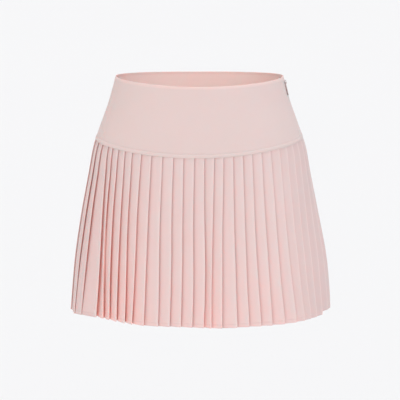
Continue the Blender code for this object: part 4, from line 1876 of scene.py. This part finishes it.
    def tape(self, side: int) -> Shell:
        """One tape, flat against the inside of the yoke.

        Args:
            side: -1 towards the front, 1 towards the back.

        Returns:
            Its wall.
        """
        height = np.linspace(-self.tape_top, self.tape_end(), self.TAPE_ROWS)[:, None]
        middle = np.array([self.place(float(h)) for h in height[:, 0]])[:, None]
        columns = [np.full_like(height, edge) for edge in (self.tape_width / 2, *self.TAPE_EDGES)]
        columns += [self.inner_edge(-height) + beyond for beyond in self.TAPE_SELVEDGE]
        across = side * np.concatenate(columns, 1)
        thin = np.full(across.shape[1], self.tape_wall)
        thin[[0, -1]] *= self.TAPE_THIN
        if side > 0:
            across, thin = across[:, ::-1], thin[::-1]
        place = middle + across / self.form.pitch(height)
        face = -self.yoke_wall - self.gap
        outer = self.form.point(place, height, face - (self.tape_wall - thin) / 2)
        inner = self.form.point(place, height, face - (self.tape_wall + thin) / 2)
        return Shell(outer, inner, across, height, 0.0, 0.0, reverse=self.TAPE_REVERSE)

    def coil_lines(self) -> tuple[list[np.ndarray], list[np.ndarray]]:
        """The coil's lines on the inner side of the tapes.

        Returns:
            The closed run's line, and the lines of the two parted halves.
        """
        out = -self.yoke_wall - self.gap - self.tape_wall - self.COIL_DEPTH
        high, low = -self.parted - self.COIL_REACH, self.tape_end() + self.COIL_REACH
        closed = [self.on_cloth(float(height), out) for height in np.linspace(high, low, self.COIL_POINTS)]
        top, foot = self.tape_top + self.HALF_COIL_TOP, self.parted - self.HALF_COIL_FOOT
        drops = np.linspace(top, foot, self.HALF_COIL_POINTS)
        reach = self.slot / 2 + self.HALF_COIL_OFFSET
        halves = [[self.on_cloth(-float(drop), out, side * reach) for drop in drops] for side in (-1, 1)]
        return [np.array(closed)], [np.array(half) for half in halves]

    def solid(self, name: str, outlines: list[Outline], thick: float) -> Mesh:
        """A flat plate over an outline with holes, its edges rounded.

        Args:
            name: the mesh's name.
            outlines: the outer line first, then any holes, as (x, y) points in millimetres.
            thick: the plate's thickness in millimetres.

        Returns:
            A closed mesh, centred on its own thickness.
        """
        curve = bpy.data.curves.new(name, "CURVE")
        curve.dimensions = "2D"
        curve.fill_mode = "BOTH"
        curve.extrude = (thick / 2 - self.edge_round) * MM
        curve.bevel_depth = self.edge_round * MM
        curve.bevel_resolution = self.BEVEL_STEPS
        curve.offset = -self.edge_round * MM
        for outline in outlines:
            spline = curve.splines.new("POLY")
            spline.points.add(len(outline) - 1)
            spline.use_cyclic_u = True
            for point, (x, y) in zip(spline.points, outline):
                point.co = (x * MM, y * MM, 0.0, 1.0)
        thing = bpy.data.objects.new(name, curve)
        bpy.context.scene.collection.objects.link(thing)
        mesh = plain_mesh(thing)
        bpy.data.objects.remove(thing)
        form = bmesh.new()
        form.from_mesh(mesh)
        bmesh.ops.remove_doubles(form, verts=form.verts, dist=self.WELD * MM)
        bmesh.ops.recalc_face_normals(form, faces=form.faces)
        form.to_mesh(mesh)
        form.free()
        mesh.shade_smooth()
        mesh.set_sharp_from_angle(angle=self.SHARP)
        return mesh

    def rounded(self, width: float, length: float, corner: float) -> Outline:
        """A rectangle with round corners, centred.

        Args:
            width: its size along x.
            length: its size along y.
            corner: the radius of its corners.

        Returns:
            Its (x, y) points.
        """
        points = []
        for turn, (sx, sy) in enumerate(((1, 1), (-1, 1), (-1, -1), (1, -1))):
            for k in range(self.CORNER_STEPS + 1):
                angle = math.pi / 2 * (turn + k / self.CORNER_STEPS)
                x = sx * (width / 2 - corner) + corner * math.cos(angle)
                y = sy * (length / 2 - corner) + corner * math.sin(angle)
                points.append((x, y))
        return points

    def drop(self) -> Outline:
        """The pull's outline: a drop shape, hung from its bar at y = 0.

        Returns:
            Its (x, y) points.
        """
        top, radius, cut = -self.pull_bar / 2, self.pull_width / 2, self.PULL_CUT
        centre = self.pull_length - self.pull_bar / 2 - radius
        angles = [math.pi * k / self.DROP_STEPS for k in range(self.DROP_STEPS + 1)]
        points = [(radius * math.cos(angle), centre + radius * math.sin(angle)) for angle in angles]
        waist, half = self.pull_window[1] + self.pull_bar, self.pull_top_width / 2
        points += [(-half, waist), (-half, top + cut), (-half + cut, top)]
        return points + [(half - cut, top), (half, top + cut), (half, waist)]

    def arch(self, foot: float) -> Outline:
        """The bridge's outline, seen across the zip.

        Args:
            foot: how far out of the cloth its feet are.

        Returns:
            Its (y, z) points.
        """
        metal, half = self.bridge_metal, self.bridge_length / 2
        inside = self.axis_lift() + self.bar_reach() + self.pull_clearance
        leg, outside, ease = half - metal, inside + metal, metal / self.BRIDGE_CUT
        points = [(-half, foot), (-half, outside - metal), (-half + ease, outside - ease), (-leg, outside)]
        points += [(leg, outside), (half - ease, outside - ease), (half, outside - metal), (half, foot)]
        return points + [(leg, foot), (leg, inside), (-leg, inside), (-leg, foot)]

    def pull(self, finish: Material) -> Object:
        """The pull tab, hanging on the bridge with its foot almost on the cloth.

        Args:
            finish: its material.

        Returns:
            Its object.
        """
        middle = (self.pull_window[1] + self.pull_bar) / 2
        window = [(x, y + middle) for x, y in self.rounded(*self.pull_window, self.WINDOW_CORNER)]
        mesh = self.solid("pull", [self.drop(), window], self.pull_metal)
        lift = Matrix.Translation((0, 0, self.axis_lift() * MM))
        mesh.transform(self.seat() @ lift @ Matrix.Rotation(-self.pull_tilt, 4, "X"))
        return link("pull", mesh, finish)

    def slider(self, finish: Material) -> Object:
        """The slider: a small body behind the tapes, with a bridge out through the seam for the pull.

        Args:
            finish: its material.

        Returns:
            Its object.
        """
        width, length, thick = self.slider_size
        body = self.solid("slider", [self.rounded(width, length, self.slider_corner)], thick)
        sunk = -self.slider_depth - thick / 2
        body.transform(Matrix.Translation((0, 0, sunk * MM)))
        bridge = self.solid("bridge", [self.arch(sunk)], self.bridge_width)
        bridge.transform(self.UPRIGHT)
        thing, other = link("slider", body, finish), link("bridge", bridge, finish)
        step = thing.modifiers.new("bridge", "BOOLEAN")
        step.operation = "UNION"
        step.solver = "EXACT"
        step.object = other
        mesh = plain_mesh(thing)
        thing.modifiers.clear()
        thing.data = mesh
        bpy.data.objects.remove(other)
        mesh.transform(self.seat())
        mesh.set_sharp_from_angle(angle=self.SHARP)
        return thing

    def build(self, row: Row, tape: Material, coil: Material, metal: Material) -> dict[str, Object]:
        """Make the tapes, the coil, the slider and the pull.

        Args:
            row: the tree that lays the coil's turns.
            tape: the tapes' finish.
            coil: the coil's finish.
            metal: the slider's and the pull's finish.

        Returns:
            The pieces by name.
        """
        made = {}
        for name, side in (("zip_tape_front", -1), ("zip_tape_back", 1)):
            strip = link(name, self.tape(side).mesh(name), tape)
            made[name] = keep(name, strip, Slot.TAPE, Body.SKIRT, "zip_tape")
        turn = tuple((self.seat().to_3x3() @ Matrix.Rotation(math.pi / 2, 3, "Z")).to_euler())
        runs = (("zip_coil", self.tooth_size), ("zip_coil_parted", self.half_tooth_size))
        for (name, size), lines in zip(runs, self.coil_lines()):
            run = row.lay(name, lines, self.tooth_spacing, size, turn, coil)
            made[name] = keep(name, run, Slot.TAPE, Body.SKIRT)
        for name, thing, body, node in (
            ("zip_slider_metal", self.slider(metal), Body.SKIRT, "zip_slider"),
            ("zip_pull_tab", self.pull(metal), Body.PULL, "zip_pull"),
        ):
            made[name] = keep(name, thing, Slot.METAL, body, node)
        return made


# ---- studio


class Lamp(NamedTuple):
    """A distant soft light: how far right of the front and above the level it is, in degrees.

    Its power, how wide it looks in degrees and its tint follow.
    """

    name: str
    azimuth: float
    elevation: float
    power: float
    spread: float
    tint: Triple


@dataclass
class Studio:
    """A pale floor, soft light from all round and a camera at the height of the skirt.

    Attributes:
        distance: from the camera to what it aims at, in metres.
        elevation: how far above the level the camera is, in degrees.
        aim: the point it aims at, in metres.
        focal: its focal length in pixels of the frame.
        picture: the frame's width in pixels.
        ambient: how bright the surroundings are.
        floor_drop: how far the floor is below the waist, in metres.
        floor_reach: how far it runs each way, in metres.
        floor_shade: how pale it is, from 0 to 1.
    """

    distance: float = 3.2
    elevation: float = 8.5
    aim: Triple = (0.0008, 0.0, -0.196)
    focal: float = 2038.0
    picture: float = 400.0
    ambient: Triple = (0.545, 0.55, 0.56)
    floor_drop: float = 1.04
    floor_reach: float = 60.0
    floor_shade: float = 0.86

    SENSOR = 36.0
    CLIP = (0.1, 200.0)
    LAMPS = (
        Lamp("key", azimuth=8.0, elevation=26.0, power=0.985, spread=50.0, tint=(1.0, 0.98, 0.965)),
        Lamp("fill", azimuth=-34.0, elevation=16.0, power=0.36, spread=60.0, tint=(1.0, 1.0, 1.0)),
        Lamp("window", azimuth=52.0, elevation=40.0, power=0.26, spread=50.0, tint=(0.5, 0.95, 1.35)),
        Lamp("overhead", azimuth=0.0, elevation=88.0, power=1.0, spread=50.0, tint=(1.08, 1.0, 0.95)),
    )

    def camera(self) -> None:
        """Set the camera at the photo's angle."""
        data = bpy.data.cameras.new("camera")
        data.sensor_width = self.SENSOR
        data.lens = self.focal / self.picture * data.sensor_width
        data.clip_start, data.clip_end = self.CLIP
        thing = bpy.data.objects.new("camera", data)
        lift = math.radians(self.elevation)
        back = Vector((0.0, -math.cos(lift), math.sin(lift)))
        thing.location = Vector(self.aim) + back * self.distance
        thing.rotation_euler = (math.pi / 2 - lift, 0.0, 0.0)
        bpy.context.scene.collection.objects.link(thing)
        bpy.context.scene.camera = thing

    def light(self, lamp: Lamp) -> None:
        """Set a distant soft light.

        Args:
            lamp: where it is and how it shines.
        """
        data = bpy.data.lights.new(lamp.name, "SUN")
        data.energy = lamp.power
        data.color = lamp.tint
        data.angle = math.radians(lamp.spread)
        thing = bpy.data.objects.new(lamp.name, data)
        turn, lift = math.radians(lamp.azimuth), math.radians(lamp.elevation)
        back = Vector((math.sin(turn) * math.cos(lift), -math.cos(turn) * math.cos(lift), math.sin(lift)))
        thing.rotation_mode = "QUATERNION"
        thing.rotation_quaternion = back.to_track_quat("Z", "Y")
        bpy.context.scene.collection.objects.link(thing)

    def surroundings(self) -> None:
        """Set an even pale surround, whose colours are shown as they are."""
        world = bpy.data.worlds.new("surround")
        world.use_nodes = True
        shade = world.node_tree.nodes["Background"]
        shade.inputs["Color"].default_value = (*self.ambient, 1.0)
        shade.inputs["Strength"].default_value = 1.0
        bpy.context.scene.world = world
        bpy.context.scene.view_settings.view_transform = "Standard"

    def floor(self) -> None:
        """Lay a wide floor where the wearer would stand."""
        mesh = bpy.data.meshes.new("floor")
        reach = self.floor_reach
        corners = [(-reach, -reach), (reach, -reach), (reach, reach), (-reach, reach)]
        mesh.from_pydata([(x, y, -self.floor_drop) for x, y in corners], [], [(0, 1, 2, 3)])
        link("floor", mesh, FloorFinish("floor", self.floor_shade).material())

    def build(self) -> None:
        """Make the camera, the lights, the surround and the floor."""
        self.camera()
        for lamp in self.LAMPS:
            self.light(lamp)
        self.surroundings()
        self.floor()


# ---- the whole skirt


class Cutting(NamedTuple):
    """What the cloth of one side was cut from: its share of the seam in pleats, and its pleats."""

    span: float
    pleats: int


FRONT_PLEATS = Pleating.FRONT[1] - Pleating.FRONT[0] + 1
CUTTINGS = {
    "front": Cutting(SEAM_ZIP_SIDE.foot - SEAM_RIGHT_SIDE.foot, FRONT_PLEATS),
    "back": Cutting(SEAM_BEHIND.foot - SEAM_ZIP_SIDE.foot, PLEATS - FRONT_PLEATS),
}
GIRTH_HEIGHTS = (-105.0, -372.0)
YOKE_CUT_HEIGHT = 0.105
YOKE_CUT_FILL = 0.9


def declare_sheets(form: Form) -> None:
    """Work out the size that each cloth panel was cut to; nothing is done with it.

    Args:
        form: the skirt's outer form.
    """
    pitch_seam, pitch_hem = (float(form.pitch(height)) for height in GIRTH_HEIGHTS)
    for side, cut in CUTTINGS.items():
        wide, high = cut.span * pitch_seam * MM, YOKE_CUT_HEIGHT
        wide * high * YOKE_CUT_FILL
        wide = cut.pleats * ((pitch_seam + pitch_hem) / 2 + 2 * Pleating.underlay) * MM


def main() -> None:
    """Dress the skirt, piece by piece, and set it in its studio."""
    logging.basicConfig(level=logging.INFO, format="%(name)s: %(message)s")
    form, row = Form(), Row()
    Studio().build()
    yoke, pleats, thread = YOKE_FINISH.material(), PLEAT_FINISH.material(), THREAD_FINISH.material()
    pieces = Yoke(row, yoke, thread, form).build()
    pieces |= Pleating(row, pleats, thread, form).build()
    finishes = (TAPE_FINISH.material(), TEETH_FINISH.material(), METAL_FINISH.material())
    pieces |= Zip(form).build(row, *finishes)
    declare_sheets(form)


if __name__ == "__main__":
    main()
